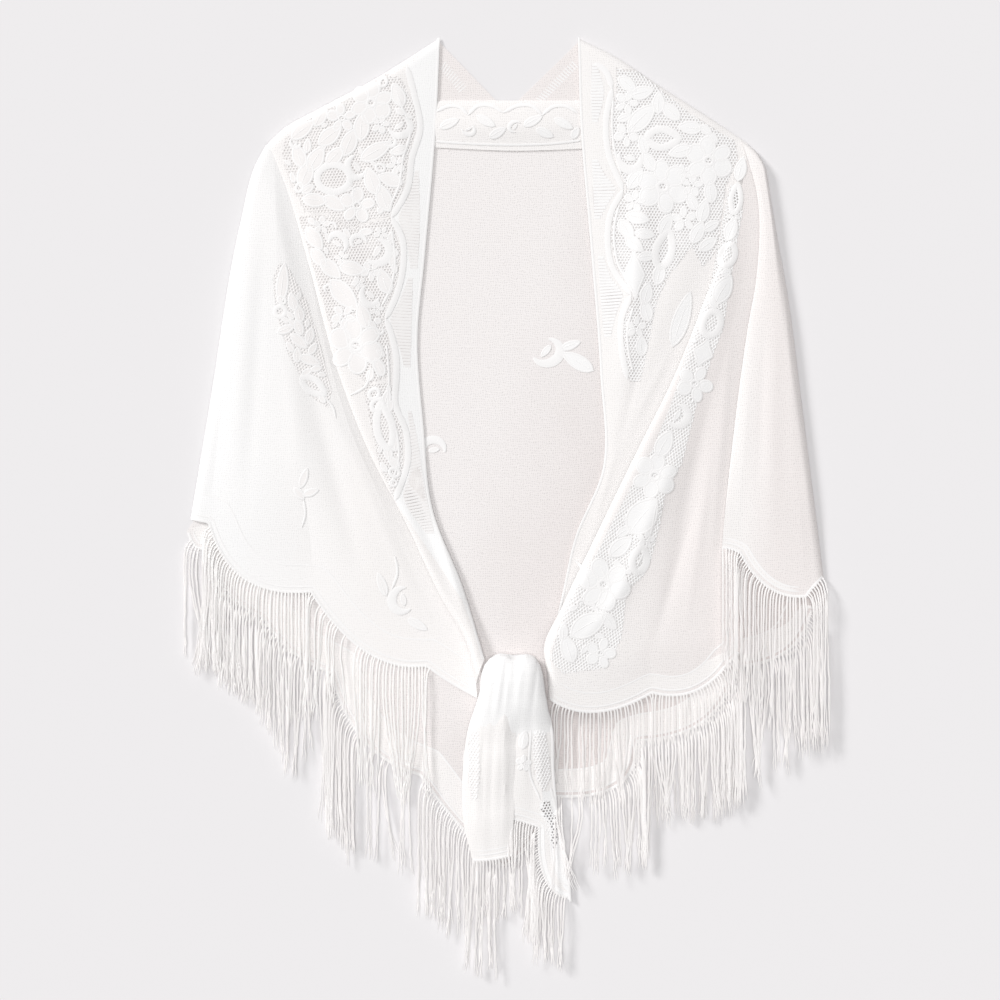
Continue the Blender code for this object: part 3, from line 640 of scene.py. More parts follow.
def plain_cloth_material(name, tone):
    """Woven yarn with fine holes and painted shade between its threads, as dark as its tone says."""
    material, shader = new_material(name, tone.near, 0.8, 0.2)
    tree = material.node_tree
    across, along, place = cloth_place(tree)
    drift = math_node(tree, "MULTIPLY", noise(tree, place, DRIFT_GRAIN), DRIFT)
    rows = wave(tree, math_node(tree, "ADD", along, drift), ROW_PITCH)
    uprights = wave(tree, math_node(tree, "ADD", across, drift), UPRIGHT_PITCH)
    slubs = noise(tree, place, SLUB_GRAIN, detail=3.0)
    uneven = math_node(tree, "MULTIPLY_ADD", slubs, SLUB, -1.0, clamp=True)
    hole = math_node(tree, "MULTIPLY", math_node(tree, "MULTIPLY", rows, uprights), uneven, clamp=True)
    open_share = math_node(tree, "MULTIPLY", hole, tone.openness, clamp=True)
    tree.links.new(math_node(tree, "SUBTRACT", 1.0, open_share), shader.inputs["Alpha"])
    # The tone from near to far across the shawl is painted light and shade.
    width = tone.end - tone.start
    way = math_node(tree, "MULTIPLY_ADD", along, -tone.down, across)
    passed = math_node(tree, "MULTIPLY_ADD", way, 1 / width, -tone.start / width)
    cloud = math_node(tree, "MULTIPLY_ADD", noise(tree, place, tone.patch), tone.cloudy,
                      -tone.cloudy / 2)
    passed = math_node(tree, "ADD", passed, cloud, clamp=True)
    top = blended(tree, tone.near, tone.far, passed)
    # Painted shade between the threads, where the weave is open.
    deep_shade = blended(tree, darker(tone.near, tone.grain), darker(tone.far, tone.grain), passed)
    tree.links.new(blended(tree, top, deep_shade, hole), shader.inputs["Base Color"])
    bumped(tree, shader, math_node(tree, "SUBTRACT", 1.0, hole), 0.25, 0.35)
    return material


print("the threads of the weave lie", UPRIGHT_PITCH, "by", ROW_PITCH, "mm apart")

# %% [markdown]
# Most tones are named by where they lie. Behind an open net lies the next layer of the fold. On
# the lapels and the pointed tail its tone is darker with painted shade, patchy on the lapels, and
# the lapels' ladders have that painted shade in their slits.

# %% Tones
WHITE = (0.945, 0.938, 0.936, 1.0)
IVORY = (0.908, 0.885, 0.873, 1.0)
CREAM = (0.918, 0.892, 0.880, 1.0)
DULL = (0.884, 0.849, 0.840, 1.0)
# The back's painted shadow: darker and pinker towards the lower right, under the right front and the knot.
BACK_SHADOW = (0.795, 0.742, 0.729, 1.0)
PINK = (0.862, 0.816, 0.803, 1.0)
# Painted shade: the veil under a net, its deepest patches, and how patchy that shade is.
VEIL_SHADE = (0.885, 0.858, 0.848, 1.0)
SHADED = (0.760, 0.726, 0.714, 1.0)
PATCHY_SHADE = {"patch": (0.075, 0.055), "cloudy": 3.2}


def even(colour, openness, grain):
    """The tone of a cloth that has one colour all over."""
    return Tone(colour, colour, 0, 100, openness, grain)


# Where a tone changes across the shawl, the change is painted light and shade: the left wing is whiter where
# it faces the light, and the right front, the right wing and the back get darker and pinker where they turn
# away from it or lie in the shade of the fronts and the knot.
TONES = {
    "dense_cloth": even(WHITE, 0.08, 0.985),
    "left_cloth": Tone(darker(WHITE, 0.975), CREAM, -235, -110, 0.10, 0.98),
    "middle_cloth": even(CREAM, 0.16, 0.975),
    "back_cloth": Tone(DULL, BACK_SHADOW, -40, 115, 0.20, 0.955, down=0.33),
    "front_cloth": Tone(CREAM, PINK, 70, 165, 0.18, 0.97),
    "wing_cloth": Tone(darker(CREAM, 0.98), PINK, 196, 226, 0.18, 0.97),
    "ivory_cloth": even(IVORY, 0.10, 0.98),
    # The veils behind the nets are painted shade, patchy on the lapels.
    "shaded_veil": even(VEIL_SHADE, 0.1, 0.93),
    "left_shaded_veil": Tone(CREAM, SHADED, -1000, 1000, 0.1, 0.96, **PATCHY_SHADE),
    "right_shaded_veil": Tone(VEIL_SHADE, SHADED, -1000, 1000, 0.1, 0.96, **PATCHY_SHADE),
    "sheer_cloth": even(PINK, 0.2, 0.96),
}
tones = {name: plain_cloth_material(name, tone) for name, tone in TONES.items()}
print("tones:", ", ".join(tones))

# %% [markdown]
# The `LOOKS` table says which tones a panel's plain cloth, dense borders, veil and hem have, and
# how its net is turned in degrees, since lace is worked along its edge. Most panels have the
# same dense cloth, veil and hem, so these are the defaults.

# %% The look of each panel
Look = namedtuple("Look", "plain dense veil hem net_turn",
                  defaults=["dense_cloth", "shaded_veil", "dense_cloth", 0])
LOOKS = {
    "left_wing": Look("left_cloth", veil="left_cloth", hem="left_cloth", net_turn=-16),
    "left_lapel": Look("middle_cloth", veil="left_shaded_veil", net_turn=4),
    # The right lapel's dense border has the duller ivory tone: painted shade on a border that faces the
    # light.
    "right_lapel": Look("middle_cloth", dense="ivory_cloth", veil="right_shaded_veil", net_turn=-2),
    "right_front": Look("front_cloth", veil="middle_cloth", hem="middle_cloth", net_turn=-22),
    "right_wing": Look("wing_cloth", hem="middle_cloth"),
    "neck_fold_band": Look("middle_cloth"),
    "tail_wide": Look("ivory_cloth", dense="ivory_cloth", veil="middle_cloth", hem="ivory_cloth"),
    "tail_pointed": Look("ivory_cloth", hem="ivory_cloth", net_turn=6),
    "back_panel": Look("back_cloth", hem="middle_cloth"),
    "neck_edge_left": Look("sheer_cloth", veil="sheer_cloth"),
    "neck_edge_right": Look("sheer_cloth", veil="sheer_cloth"),
}
print("panels with a look:", len(LOOKS))

# %% [markdown]
# Lace yarn is dense: fine stitches side by side, a little uneven, with no holes of its own, and
# slightly warmer towards the left. The grooves between its stitches have painted shade. The
# fringe yarn is so thin that light comes through it, so it never looks quite as dark on its far
# side as solid yarn does: a faint glow, which is painted light, stands for that light, and the
# grooves of its twist have painted shade. It is brightest where it hangs from the left front;
# everywhere else it has painted shade, duller and with less glow.

# %% Lace yarn and fringe yarn
YARN_WHITE = (0.924, 0.915, 0.913, 1.0)
YARN_WARM = (0.908, 0.882, 0.872, 1.0)
STITCH, TWIST = 1.3, 2.4
# Painted shade in the grooves between the lace yarn's stitches and in the fringe yarn's twist.
GROOVE_SHADE, TWIST_SHADE = 0.965, 0.97


def lace_yarn_material():
    material, shader = new_material("lace_yarn", YARN_WHITE, 0.7, 0.3)
    tree = material.node_tree
    across, along, place = cloth_place(tree)
    lean = noise(tree, place, (0.08, 0.08))
    stitches = wave(tree, math_node(tree, "MULTIPLY_ADD", lean, 14.0, along), STITCH)
    height = math_node(tree, "MULTIPLY_ADD", stitches, 0.5, noise(tree, place, (1.2, 1.2)))
    rightward = math_node(tree, "MULTIPLY_ADD", across, 1 / 200, 0.75, clamp=True)
    colour = blended(tree, YARN_WARM, YARN_WHITE, rightward)
    # Painted shade in the grooves between the stitches.
    deep_shade = blended(tree, darker(YARN_WARM, GROOVE_SHADE), darker(YARN_WHITE, GROOVE_SHADE), rightward)
    tree.links.new(blended(tree, deep_shade, colour, stitches), shader.inputs["Base Color"])
    bumped(tree, shader, height, 0.2, 0.3)
    return material


def fringe_yarn_material(name, colour, glow):
    material, shader = new_material(name, colour, 0.75, 0.3)
    tree = material.node_tree
    around, along = cloth_place(tree)[:2]
    twist = wave(tree, math_node(tree, "MULTIPLY_ADD", around, TWIST, along), TWIST)
    # Painted shade in the grooves of the twist.
    lit = blended(tree, darker(colour, TWIST_SHADE), colour, twist)
    tree.links.new(lit, shader.inputs["Base Color"])
    bumped(tree, shader, twist, 0.2, 0.4)
    # The glow is painted light, for light that comes through the thin yarn.
    shader.inputs["Emission Color"].default_value = colour
    shader.inputs["Emission Strength"].default_value = glow
    return material


lace_yarn = lace_yarn_material()
# The left front's fringe yarn is brighter and glows more; the other fringes' yarn has painted shade, duller
# and with less glow. The glow of both is painted light.
bright_yarn = fringe_yarn_material("fringe_yarn", (0.985, 0.968, 0.955, 1.0), glow=0.07)
shaded_yarn = fringe_yarn_material("fringe_yarn_shaded", (0.965, 0.940, 0.930, 1.0), glow=0.045)
print("yarns:", lace_yarn.name, bright_yarn.name, shaded_yarn.name)

# %% [markdown]
# ## One mesh for many small things
#
# Threads, petals and hems come in thousands, so each piece of lace is one mesh that they are all
# collected in. `Work` gathers points, faces and their places on the cloth, and makes the object.

# %% Collecting meshes
class Work:
    """Gathers many small surfaces into one object."""

    def __init__(self, name, materials):
        self.name = name
        self.materials = materials
        self.slots = []
        self.points = []
        self.places = []
        self.faces = []
        self.count = 0

    def add(self, points, faces, places=None, slot=0):
        """Points in millimetres, faces as rows of point numbers, and places for the UV map."""
        self.points.append(points)
        self.places.append(points[:, :2] if places is None else places)
        self.faces += [tuple(int(corner) + self.count for corner in face) for face in faces]
        self.slots += [slot] * len(faces)
        self.count += len(points)

    def make(self):
        mesh = bpy.data.meshes.new(self.name)
        mesh.from_pydata((np.vstack(self.points) * MM).tolist(), [], self.faces)
        corner_points = np.empty(len(mesh.loops), int)
        mesh.loops.foreach_get("vertex_index", corner_points)
        uv_map = mesh.uv_layers.new(name="cloth")
        uv_map.data.foreach_set("uv", np.vstack(self.places)[corner_points].astype(np.float32).ravel())
        for material in self.materials:
            mesh.materials.append(material)
        mesh.polygons.foreach_set("material_index", self.slots)
        mesh.polygons.foreach_set("use_smooth", [True] * len(mesh.polygons))
        mesh.update()
        piece = bpy.data.objects.new(self.name, mesh)
        bpy.context.scene.collection.objects.link(piece)
        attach(piece, "root")
        print(self.name, "has", sum(len(face) - 2 for face in self.faces), "triangles")
        return piece


print("a new work starts with", Work("empty", []).count, "points")

# %% [markdown]
# ## Drawing with yarn
#
# Four tools make all the lace. A band is a flat cord along a line, rounded on top. A patch is
# solid stitching inside an outline, a little domed. A thread is a thin straight prism. A net is
# a field of hexagons of thread. Each is drawn in the plane and laid on its cloth.

# %% Bands and patches
DOME = [(1.0, 0.0), (0.9, 0.75), (0.62, 1.0), (0.3, 0.9)]
DOME_MIDDLE = 0.85


def fan_of(first, count, middle):
    """Corner numbers of the triangles from a ring of points to its middle."""
    number = np.arange(count)
    return np.stack([first + number, first + (number + 1) % count, np.full(count, middle)], axis=1)


def band(work, cloth, path, width, height, lift=0.3, closed=False, sections=5, taper=False):
    """A cord along a path, rounded on top; its width may be one number or one for each point."""
    if closed:
        along = np.roll(path, -1, axis=0) - np.roll(path, 1, axis=0)
    else:
        along = np.vstack([path[1:], path[-1:]]) - np.vstack([path[:1], path[:-1]])
    along /= np.maximum(np.linalg.norm(along, axis=1, keepdims=True), 1e-9)
    square = np.column_stack([along[:, 1], -along[:, 0]])
    half = np.broadcast_to(np.asarray(width, float) / 2, len(path)).copy()
    if taper:
        ends = np.minimum(np.arange(len(path)), np.arange(len(path))[::-1]) / 3
        half *= np.clip(0.25 + ends, 0, 1)
    side = np.linspace(-1, 1, sections)
    flat = path[:, None] + square[:, None] * (side[None, :, None] * half[:, None, None])
    points = cloth.laid(flat, np.tile(lift + np.sqrt(1 - side ** 2) * height, len(path)))
    places = np.stack(np.broadcast_arrays(side * half.mean(), lengths(path)[:, None]), axis=-1)
    work.add(points, quads_of(len(path), sections, ring_rows=closed)[:, ::-1], places.reshape(-1, 2))


def patch(work, cloth, outline, height, lift=0.3):
    """Solid stitching inside an outline that its middle can see all of."""
    count = len(outline)
    middle = outline.mean(axis=0)
    flat = np.vstack([middle + (outline - middle) * share for share, _ in DOME] + [middle])
    rises = np.append(np.repeat([rise for _, rise in DOME], count), DOME_MIDDLE)
    top = fan_of((len(DOME) - 1) * count, count, len(DOME) * count)
    work.add(cloth.laid(flat, lift + height * rises), [*quads_of(len(DOME), count, ring_columns=True), *top])


print("a patch is domed by", len(DOME), "rings")

# %% [markdown]
# Threads are made together, as arrays, because a net has thousands of them. Each has the six
# corners of its two triangular ends, and only its two upper sides, as no one sees the lower one.

# %% Threads
THREAD_SIDES = np.array([[0, 1, 4, 3], [1, 2, 5, 4]])


def threads(work, starts, ends, width, height):
    """Straight threads with three sides, laid from points to points in space."""
    along = ends - starts
    flat = np.linalg.norm(along[:, :2], axis=1, keepdims=True)
    square = np.column_stack([along[:, 1], -along[:, 0]]) / np.maximum(flat, 1e-9)
    aside = np.column_stack([square * width / 2, np.zeros(len(square))])
    rings = [np.stack([end - aside, end + (0, 0, height), end + aside], axis=1) for end in (starts, ends)]
    sides = np.arange(len(starts))[:, None, None] * 6 + THREAD_SIDES
    work.add(np.concatenate(rings, axis=1).reshape(-1, 3), sides.reshape(-1, 4),
             slot=work.materials.index(lace_yarn))


print("a thread has", len(THREAD_SIDES), "sides that show")

# %% [markdown]
# A net fills an outline of any form: of a wide field of hexagons, only the threads whose middle
# lies inside the outline are kept. Each hexagon brings only three of its six sides, the two
# upper ones and the left one, as its neighbours bring the rest.

# %% Nets
NET_SIDE, NET_THREAD = 1.55, 1.12
NET_HEIGHT, NET_LIFT = 0.26, 0.06


def inside(points, outline):
    """True for the points of the plane that lie inside an outline."""
    x, y = points[:, 0], points[:, 1]
    outline = np.asarray(outline, float)
    result = np.zeros(len(points), bool)
    for (x0, y0), (x1, y1) in zip(outline, np.roll(outline, -1, axis=0)):
        if y1 != y0:
            result ^= ((y0 > y) != (y1 > y)) & (x < (x1 - x0) * (y - y0) / (y1 - y0) + x0)
    return result


def turned(points, degrees):
    """Points of the plane turned about its middle."""
    angle = np.radians(degrees)
    return points @ np.array([[np.cos(angle), np.sin(angle)], [-np.sin(angle), np.cos(angle)]])


def net(work, cloth, outline, turn):
    """Hexagons of thread inside an outline, turned by an angle in degrees."""
    outline = np.array(outline, float)
    middle = outline.mean(axis=0)
    reach = np.linalg.norm(outline - middle, axis=1).max() + 4
    across, down = NET_SIDE * np.sqrt(3), NET_SIDE * 1.5
    rows = np.arange(-int(reach / down), int(reach / down) + 1)
    columns = np.arange(-int(reach / across), int(reach / across) + 1)
    row, column = (grid.ravel() for grid in np.meshgrid(rows, columns))
    centres = np.column_stack([(column + (row % 2) / 2) * across, row * down])
    top = centres + (0, NET_SIDE)
    left, right = centres + (-across / 2, NET_SIDE / 2), centres + (across / 2, NET_SIDE / 2)
    left_low = centres + (-across / 2, -NET_SIDE / 2)
    starts = turned(np.vstack([top, top, left]), turn) + middle
    ends = turned(np.vstack([left, right, left_low]), turn) + middle
    kept = inside((starts + ends) / 2, outline)
    threads(work, cloth.laid(starts[kept], NET_LIFT), cloth.laid(ends[kept], NET_LIFT),
            NET_THREAD, NET_HEIGHT)


print("a hexagon of net is", round(NET_SIDE * np.sqrt(3), 1), "mm wide")

# %% [markdown]
# ## Flowers, leaves, rings and scrolls
#
# The lace repeats a few generic forms in many sizes. Each form is a small function that draws
# itself around its own middle, and `Motif` rows say where each one lies and how it is turned.
# Working from a table keeps the drawing apart from the placing. First the outlines, and the two
# ways of working them: filled with a thick rim, or as an open ring.

# %% Motif outlines
Motif = namedtuple("Motif", "kind x y turn length width")
FILL, RIM, RING = 0.14, 0.20, 0.25
THICKEST = 0.35


def placed(shape, motif):
    """Points of a shape of unit size, scaled, turned and moved to where a motif lies."""
    return turned(np.asarray(shape) * (motif.length, motif.width), motif.turn) + (motif.x, motif.y)


def round_shape(count):
    angles = np.arange(count) / count * 2 * np.pi
    return np.column_stack([np.cos(angles), np.sin(angles)]) * 0.5


def leaf_shape(count=20):
    """A leaf from its stem at -0.5 to its tip at 0.5."""
    share = np.linspace(0, 1, count // 2 + 1)
    half = 0.5 * np.sin(np.pi * share ** 0.85) ** 0.8
    top = np.column_stack([share - 0.5, half])
    return np.vstack([top, top[-2:0:-1] * (1, -1)])


def shrunk(motif, rim):
    """A motif made smaller, so that a rim around it stays within its own size."""
    return motif._replace(length=motif.length - rim, width=motif.width - rim)


def rimmed(work, cloth, shape, motif, rim):
    """A filled form with a soft thick rim."""
    rim = min(rim, motif.width * THICKEST)
    outline = placed(shape, shrunk(motif, rim))
    patch(work, cloth, outline, FILL)
    band(work, cloth, outline, rim, RIM, closed=True)


def open_ring(work, cloth, shape, motif, thick):
    """A form that is open in the middle."""
    band(work, cloth, placed(shape, shrunk(motif, thick)), thick, RING, closed=True, sections=7)


print("a leaf is drawn with", len(leaf_shape()), "points")

# %% [markdown]
# Then the motifs. A leaf has a rim and, if it is broad, a vein. A ring and an eye are open. A
# scroll is a leaf curled like a crescent, with a small leaf in its hollow. A flower is a circle
# of petals around a ring. The shares say how each part is sized by the motif it belongs to.

# %% Motifs
LEAF_RIM, PETAL_RIM, SMALL_RIM = 2.2, 2.4, 1.6
BROAD_LEAF, LARGE_FLOWER = 7, 36
DIAMOND = [(-0.5, 0), (-0.28, 0.17), (-0.12, 0.36), (0, 0.5), (0.12, 0.36), (0.28, 0.17), (0.5, 0),
           (0.28, -0.17), (0.12, -0.36), (0, -0.5), (-0.12, -0.36), (-0.28, -0.17)]


def draw_leaf(work, cloth, motif):
    rimmed(work, cloth, leaf_shape(), motif, LEAF_RIM)
    if motif.width > BROAD_LEAF:
        vein = placed([(-0.42, 0), (-0.1, 0.03), (0.2, 0)], motif)
        band(work, cloth, smooth(*vein).at(np.linspace(0, 1, 6)), 1.2, 0.24, lift=0.32, taper=True)


def draw_ring(work, cloth, motif):
    open_ring(work, cloth, round_shape(20), motif, min(motif.width * 0.3, 6.0))


def draw_eye(work, cloth, motif):
    open_ring(work, cloth, leaf_shape(24), motif, min(motif.width * 0.34, 6.5))


def draw_diamond(work, cloth, motif):
    rimmed(work, cloth, DIAMOND, motif, LEAF_RIM)


def draw_scroll(work, cloth, motif):
    angle = np.radians(np.linspace(20, 250, 26))
    share = np.linspace(-1, 1, len(angle))
    curl = placed(np.column_stack([np.cos(angle), np.sin(angle)]) * 0.36, motif)
    band(work, cloth, curl, motif.width * 0.3 * (1 - 0.8 * share ** 2), 0.22, sections=7)
    hollow = motif._replace(turn=motif.turn + 40, length=motif.length * 0.4, width=motif.width * 0.2)
    rimmed(work, cloth, leaf_shape(), hollow, SMALL_RIM)


def draw_flower(work, cloth, motif):
    """Broad petals with thick rims, side by side around a ring; large flowers have six."""
    count = 6 if motif.length > LARGE_FLOWER else 5
    reach = 0.30 * motif.length
    for number in range(count):
        turn = motif.turn + number * 360 / count + (number % 2) * 5
        angle = np.radians(turn)
        petal = Motif("petal", motif.x + np.cos(angle) * reach, motif.y + np.sin(angle) * reach,
                      turn, motif.length * 0.42, motif.width * (0.34 + 0.05 * (number % 3)))
        rimmed(work, cloth, round_shape(16), petal, PETAL_RIM)
    draw_ring(work, cloth, Motif("ring", motif.x, motif.y, 0, motif.length * 0.27, motif.width * 0.27))


DRAW = {"leaf": draw_leaf, "ring": draw_ring, "eye": draw_eye, "diamond": draw_diamond,
        "scroll": draw_scroll, "flower": draw_flower}
print("motif kinds:", ", ".join(DRAW))

# %% [markdown]
# ## Where the lace lies
#
# Each lapel has the same build, from its free edge inwards: a smooth dense border, a cord in
# broad scallops with a ladder of slits in each notch between two of them, then open net that
# flowers nearly fill. The tables hold the fields of net, the ladders, the cords and the main
# motifs of every panel. What room is left in a field is filled later with smaller leaves,
# flowers and rings, as it would take far too long to place them all by hand.

# %% Rows of the lace tables
Field = namedtuple("Field", "outline largest smallest kinds through", defaults=[0, 0, (), False])
Ladder = namedtuple("Ladder", "outer inner")
Cord = namedtuple("Cord", "width height places")
FIELDS, LADDERS, CORDS, MOTIFS, DENSE = {}, {}, {}, {}, {}
MIXED = ["leaf", "leaf", "leaf", "flower", "scroll", "ring"]


def motifs(*rows):
    return [Motif(*row) for row in rows]


def cords(width, height, *rows):
    return [Cord(width, height, places) for places in rows]


def border(free_edge, end, last, scallops):
    """The outline of a lapel's dense border: down its free edge and back up its scallops."""
    return np.vstack([free_edge.at(free_edge.spaced(8, 0, end)), [last]]
                     + [row[::-1] for row in scallops[::-1]])


print("most fields are filled with", ", ".join(sorted(set(MIXED))))

# %% [markdown]
# The left lapel has the broadest stretch of lace, in three fields from the shoulder down.

# %% Left lapel lace
LEFT_SCALLOPS = [
    [(-85, 373), (-79, 350), (-74, 320), (-81, 295), (-84, 271), (-98, 245)],
    [(-98, 245), (-89, 227), (-88, 206), (-93, 182), (-103, 159)],
    [(-103, 159), (-98, 145), (-94, 126), (-94, 108), (-95, 88), (-86, 64), (-84, 42), (-95, 5)],
]
DENSE["left_lapel"] = [border(LEFT_FREE_EDGE, 1, (-38, -79), LEFT_SCALLOPS)]
FIELDS["left_lapel"] = [
    Field([(-188, 310), (-176, 323), (-150, 337), (-132, 347), (-104, 366), (-91, 363), (-79, 342),
           (-77, 322), (-84, 296), (-88, 271), (-100, 246), (-115, 244), (-132, 237), (-152, 249),
           (-171, 250), (-183, 274), (-191, 298)], 26, 7, MIXED),
    Field([(-176, 245), (-150, 246), (-132, 235), (-99, 244), (-91, 218), (-93, 191), (-105, 160),
           (-99, 133), (-99, 111), (-118, 104), (-133, 118), (-147, 143), (-162, 196)],
          24, 7, ["leaf", "leaf", "flower", "scroll"]),
    Field([(-122, 102), (-99, 104), (-89, 65), (-88, 31), (-96, 7), (-108, 34)], 15, 8, ["leaf", "ring"]),
]
LADDERS["left_lapel"] = [
    Ladder(smooth((-75, 284), (-74, 245), (-76, 203)),
           smooth((-78, 284), (-83, 264), (-92, 245), (-86, 228), (-82, 203))),
    Ladder(smooth((-80, 193), (-81, 157), (-82, 119)),
           smooth((-84, 193), (-92, 173), (-99, 159), (-94, 143), (-87, 119))),
    Ladder(smooth((-81, 80), (-76, 57), (-71, 23), (-62, -22)),
           smooth((-84, 80), (-82, 57), (-82, 31), (-88, 9), (-69, -22))),
]
CORDS["left_lapel"] = [
    *cords(5.0, 0.17, *LEFT_SCALLOPS),
    *cords(2.0, 0.22, [(-93, 346), (-82, 320), (-88, 295), (-92, 271), (-99, 255)],
           [(-98, 235), (-95, 206), (-100, 182), (-106, 170)],
           [(-102, 137), (-100, 108), (-101, 88), (-93, 60), (-92, 40), (-99, 16)]),
    *cords(2.4, 0.2, [(-144, 160), (-138, 150), (-132, 131), (-115, 123), (-108, 108)],
           [(-140, 134), (-130, 136), (-120, 131)]),
    *cords(2.2, 0.24, [(-133, 94), (-120, 102), (-115, 119)]),
]
MOTIFS["left_lapel"] = motifs(
    ("leaf", -173, 319, 38, 26, 12), ("leaf", -158, 331, 62, 22, 12), ("flower", -115, 342, 20, 37, 36),
    ("ring", -147, 278, 0, 34, 29), ("flower", -127, 255, 10, 31, 28), ("leaf", -111, 301, 30, 32, 14),
    ("scroll", -110, 216, 200, 29, 27), ("leaf", -138, 179, -48, 36, 17),
    ("flower", -128, 136, 35, 48, 44), ("eye", -104, 68, 100, 46, 20))
print("the left lapel has", len(MOTIFS["left_lapel"]), "main motifs")

# %% [markdown]
# The left wing is nearly plain: one small net, a spray of leaves beside it, and a few more near
# the hem.

# %% Left wing lace
FIELDS["left_wing"] = [
    Field([(-198, 193), (-193, 206), (-184, 201), (-169, 172), (-157, 133), (-149, 97), (-152, 84),
           (-167, 94), (-186, 131), (-196, 167)], 17, 8, ["leaf", "ring", "leaf"]),
]
MOTIFS["left_wing"] = motifs(
    ("leaf", -190, 189, 84, 36, 11), ("ring", -192, 165, 0, 13, 13), ("leaf", -187, 150, 20, 17, 8),
    ("leaf", -176, 140, -40, 19, 9), ("leaf", -167, 124, -20, 20, 9), ("eye", -164, 102, -36, 29, 16),
    ("leaf", -172, 24, 70, 19, 7), ("leaf", -166, 12, 20, 15, 7), ("leaf", -176, 11, 130, 14, 7),
    ("scroll", -88, -79, 60, 29, 27), ("leaf", -76, -100, -30, 20, 8), ("leaf", -106, -66, 110, 22, 8))
CORDS["left_wing"] = [
    *cords(2.0, 0.24, [(-172, 6), (-171, -7), (-174, -18)], [(-154, 92), (-148, 85), (-145, 75)]),
    *cords(2.2, 0.24, [(-95, -42), (-93, -56), (-98, -71)]),
]
print("the left wing has", len(MOTIFS["left_wing"]), "main motifs")

# %% [markdown]
# The right lapel mirrors the left one in its build, but not in its places: it is another stretch
# of the same lace edge.

# %% Right lapel lace
RIGHT_SCALLOPS = [
    [(75, 376), (84, 368), (89, 354)],
    [(89, 354), (84, 330), (85, 303), (98, 268)],
    [(98, 268), (88, 249), (85, 227), (89, 203), (105, 179)],
    [(105, 179), (97, 160), (96, 143), (98, 126), (102, 108)],
]
DENSE["right_lapel"] = [border(RIGHT_FREE_EDGE, 0.92, (81, 31), RIGHT_SCALLOPS)]
FIELDS["right_lapel"] = [
    Field([(93, 371), (113, 368), (156, 332), (193, 310), (196, 295), (185, 271), (178, 218), (166, 203),
           (157, 221), (137, 196), (126, 172), (120, 138), (113, 106), (104, 106), (99, 133), (99, 157),
           (108, 178), (93, 203), (88, 227), (91, 249), (102, 268), (89, 303), (88, 330), (93, 352)],
          22, 14, ["leaf", "leaf", "flower"]),
]
LADDERS["right_lapel"] = [
    Ladder(smooth((72, 293), (73, 269), (74, 245)),
           smooth((77, 293), (83, 281), (92, 268), (86, 258), (79, 245))),
    Ladder(smooth((77, 211), (79, 179), (82, 145)),
           smooth((82, 211), (88, 194), (98, 179), (93, 165), (88, 145))),
    Ladder(smooth((72, 374), (71, 351), (72, 327)), smooth((76, 374), (82, 352), (77, 327))),
]
CORDS["right_lapel"] = [
    *cords(5.0, 0.18, *RIGHT_SCALLOPS),
    *cords(2.0, 0.22, [(90, 346), (89, 324), (91, 303), (97, 281)],
           [(95, 256), (91, 238), (91, 221), (96, 201), (105, 189)],
           [(107, 169), (102, 150), (103, 131), (107, 114)]),
]
MOTIFS["right_lapel"] = motifs(
    ("leaf", 114, 329, 45, 34, 17), ("eye", 132, 312, 0, 34, 22), ("scroll", 104, 295, 130, 27, 26),
    ("flower", 132, 271, 95, 46, 42), ("flower", 171, 293, 30, 42, 39), ("eye", 133, 218, 76, 39, 20),
    ("diamond", 108, 196, 92, 46, 19), ("leaf", 148, 159, 72, 51, 15))
print("the right lapel has", len(MOTIFS["right_lapel"]), "main motifs")

# %% [markdown]
# On the right front a band of lace runs down the ridge, from the shoulder to the hem. Its motifs
# are in the order in which they follow one another down it.

# %% Right front lace
FIELDS["right_front"] = [
    Field([(189, 274), (199, 267), (200, 250), (194, 220), (188, 182), (183, 150), (171, 119), (162, 92),
           (155, 63), (148, 36), (134, 12), (129, -17), (122, -44), (114, -61), (101, -71), (97, -112),
           (81, -137), (47, -141), (37, -130), (47, -90), (72, -47), (98, 4), (122, 46), (140, 89),
           (157, 148), (173, 191), (181, 233)], 26, 6, MIXED),
]
CORDS["right_front"] = [
    *cords(2.2, 0.2, [(126, 1), (123, -17), (116, -39), (110, -51)]),
    *cords(2.4, 0.2, [(79, -51), (85, -66), (81, -81), (67, -88)],
           [(57, -45), (65, -54), (69, -68), (62, -79)]),
]
MOTIFS["right_front"] = motifs(
    ("leaf", 198, 286, 76, 22, 11), ("eye", 194, 261, 84, 29, 13), ("leaf", 190, 235, 70, 22, 12),
    ("ring", 187, 213, 70, 24, 17), ("leaf", 183, 184, 60, 29, 16), ("ring", 173, 155, 70, 27, 21),
    ("diamond", 166, 130, 70, 27, 19), ("flower", 159, 104, 60, 32, 29), ("scroll", 144, 77, 200, 26, 24),
    ("leaf", 133, 53, 62, 27, 15), ("flower", 125, 26, 15, 39, 36), ("leaf", 115, -8, 52, 39, 26),
    ("leaf", 96, -34, 40, 26, 14), ("eye", 112, -45, 78, 29, 19), ("flower", 82, -66, 40, 46, 41),
    ("leaf", 69, -100, 30, 37, 20), ("flower", 79, -124, 70, 27, 24))
print("the right front has", len(MOTIFS["right_front"]), "main motifs")

# %% [markdown]
# The back has a few loose sprays, and the neck band a row of small scallops over a straight cord.
# The tails are mostly dense, with small nets. Only one of the nets has no veil behind it.

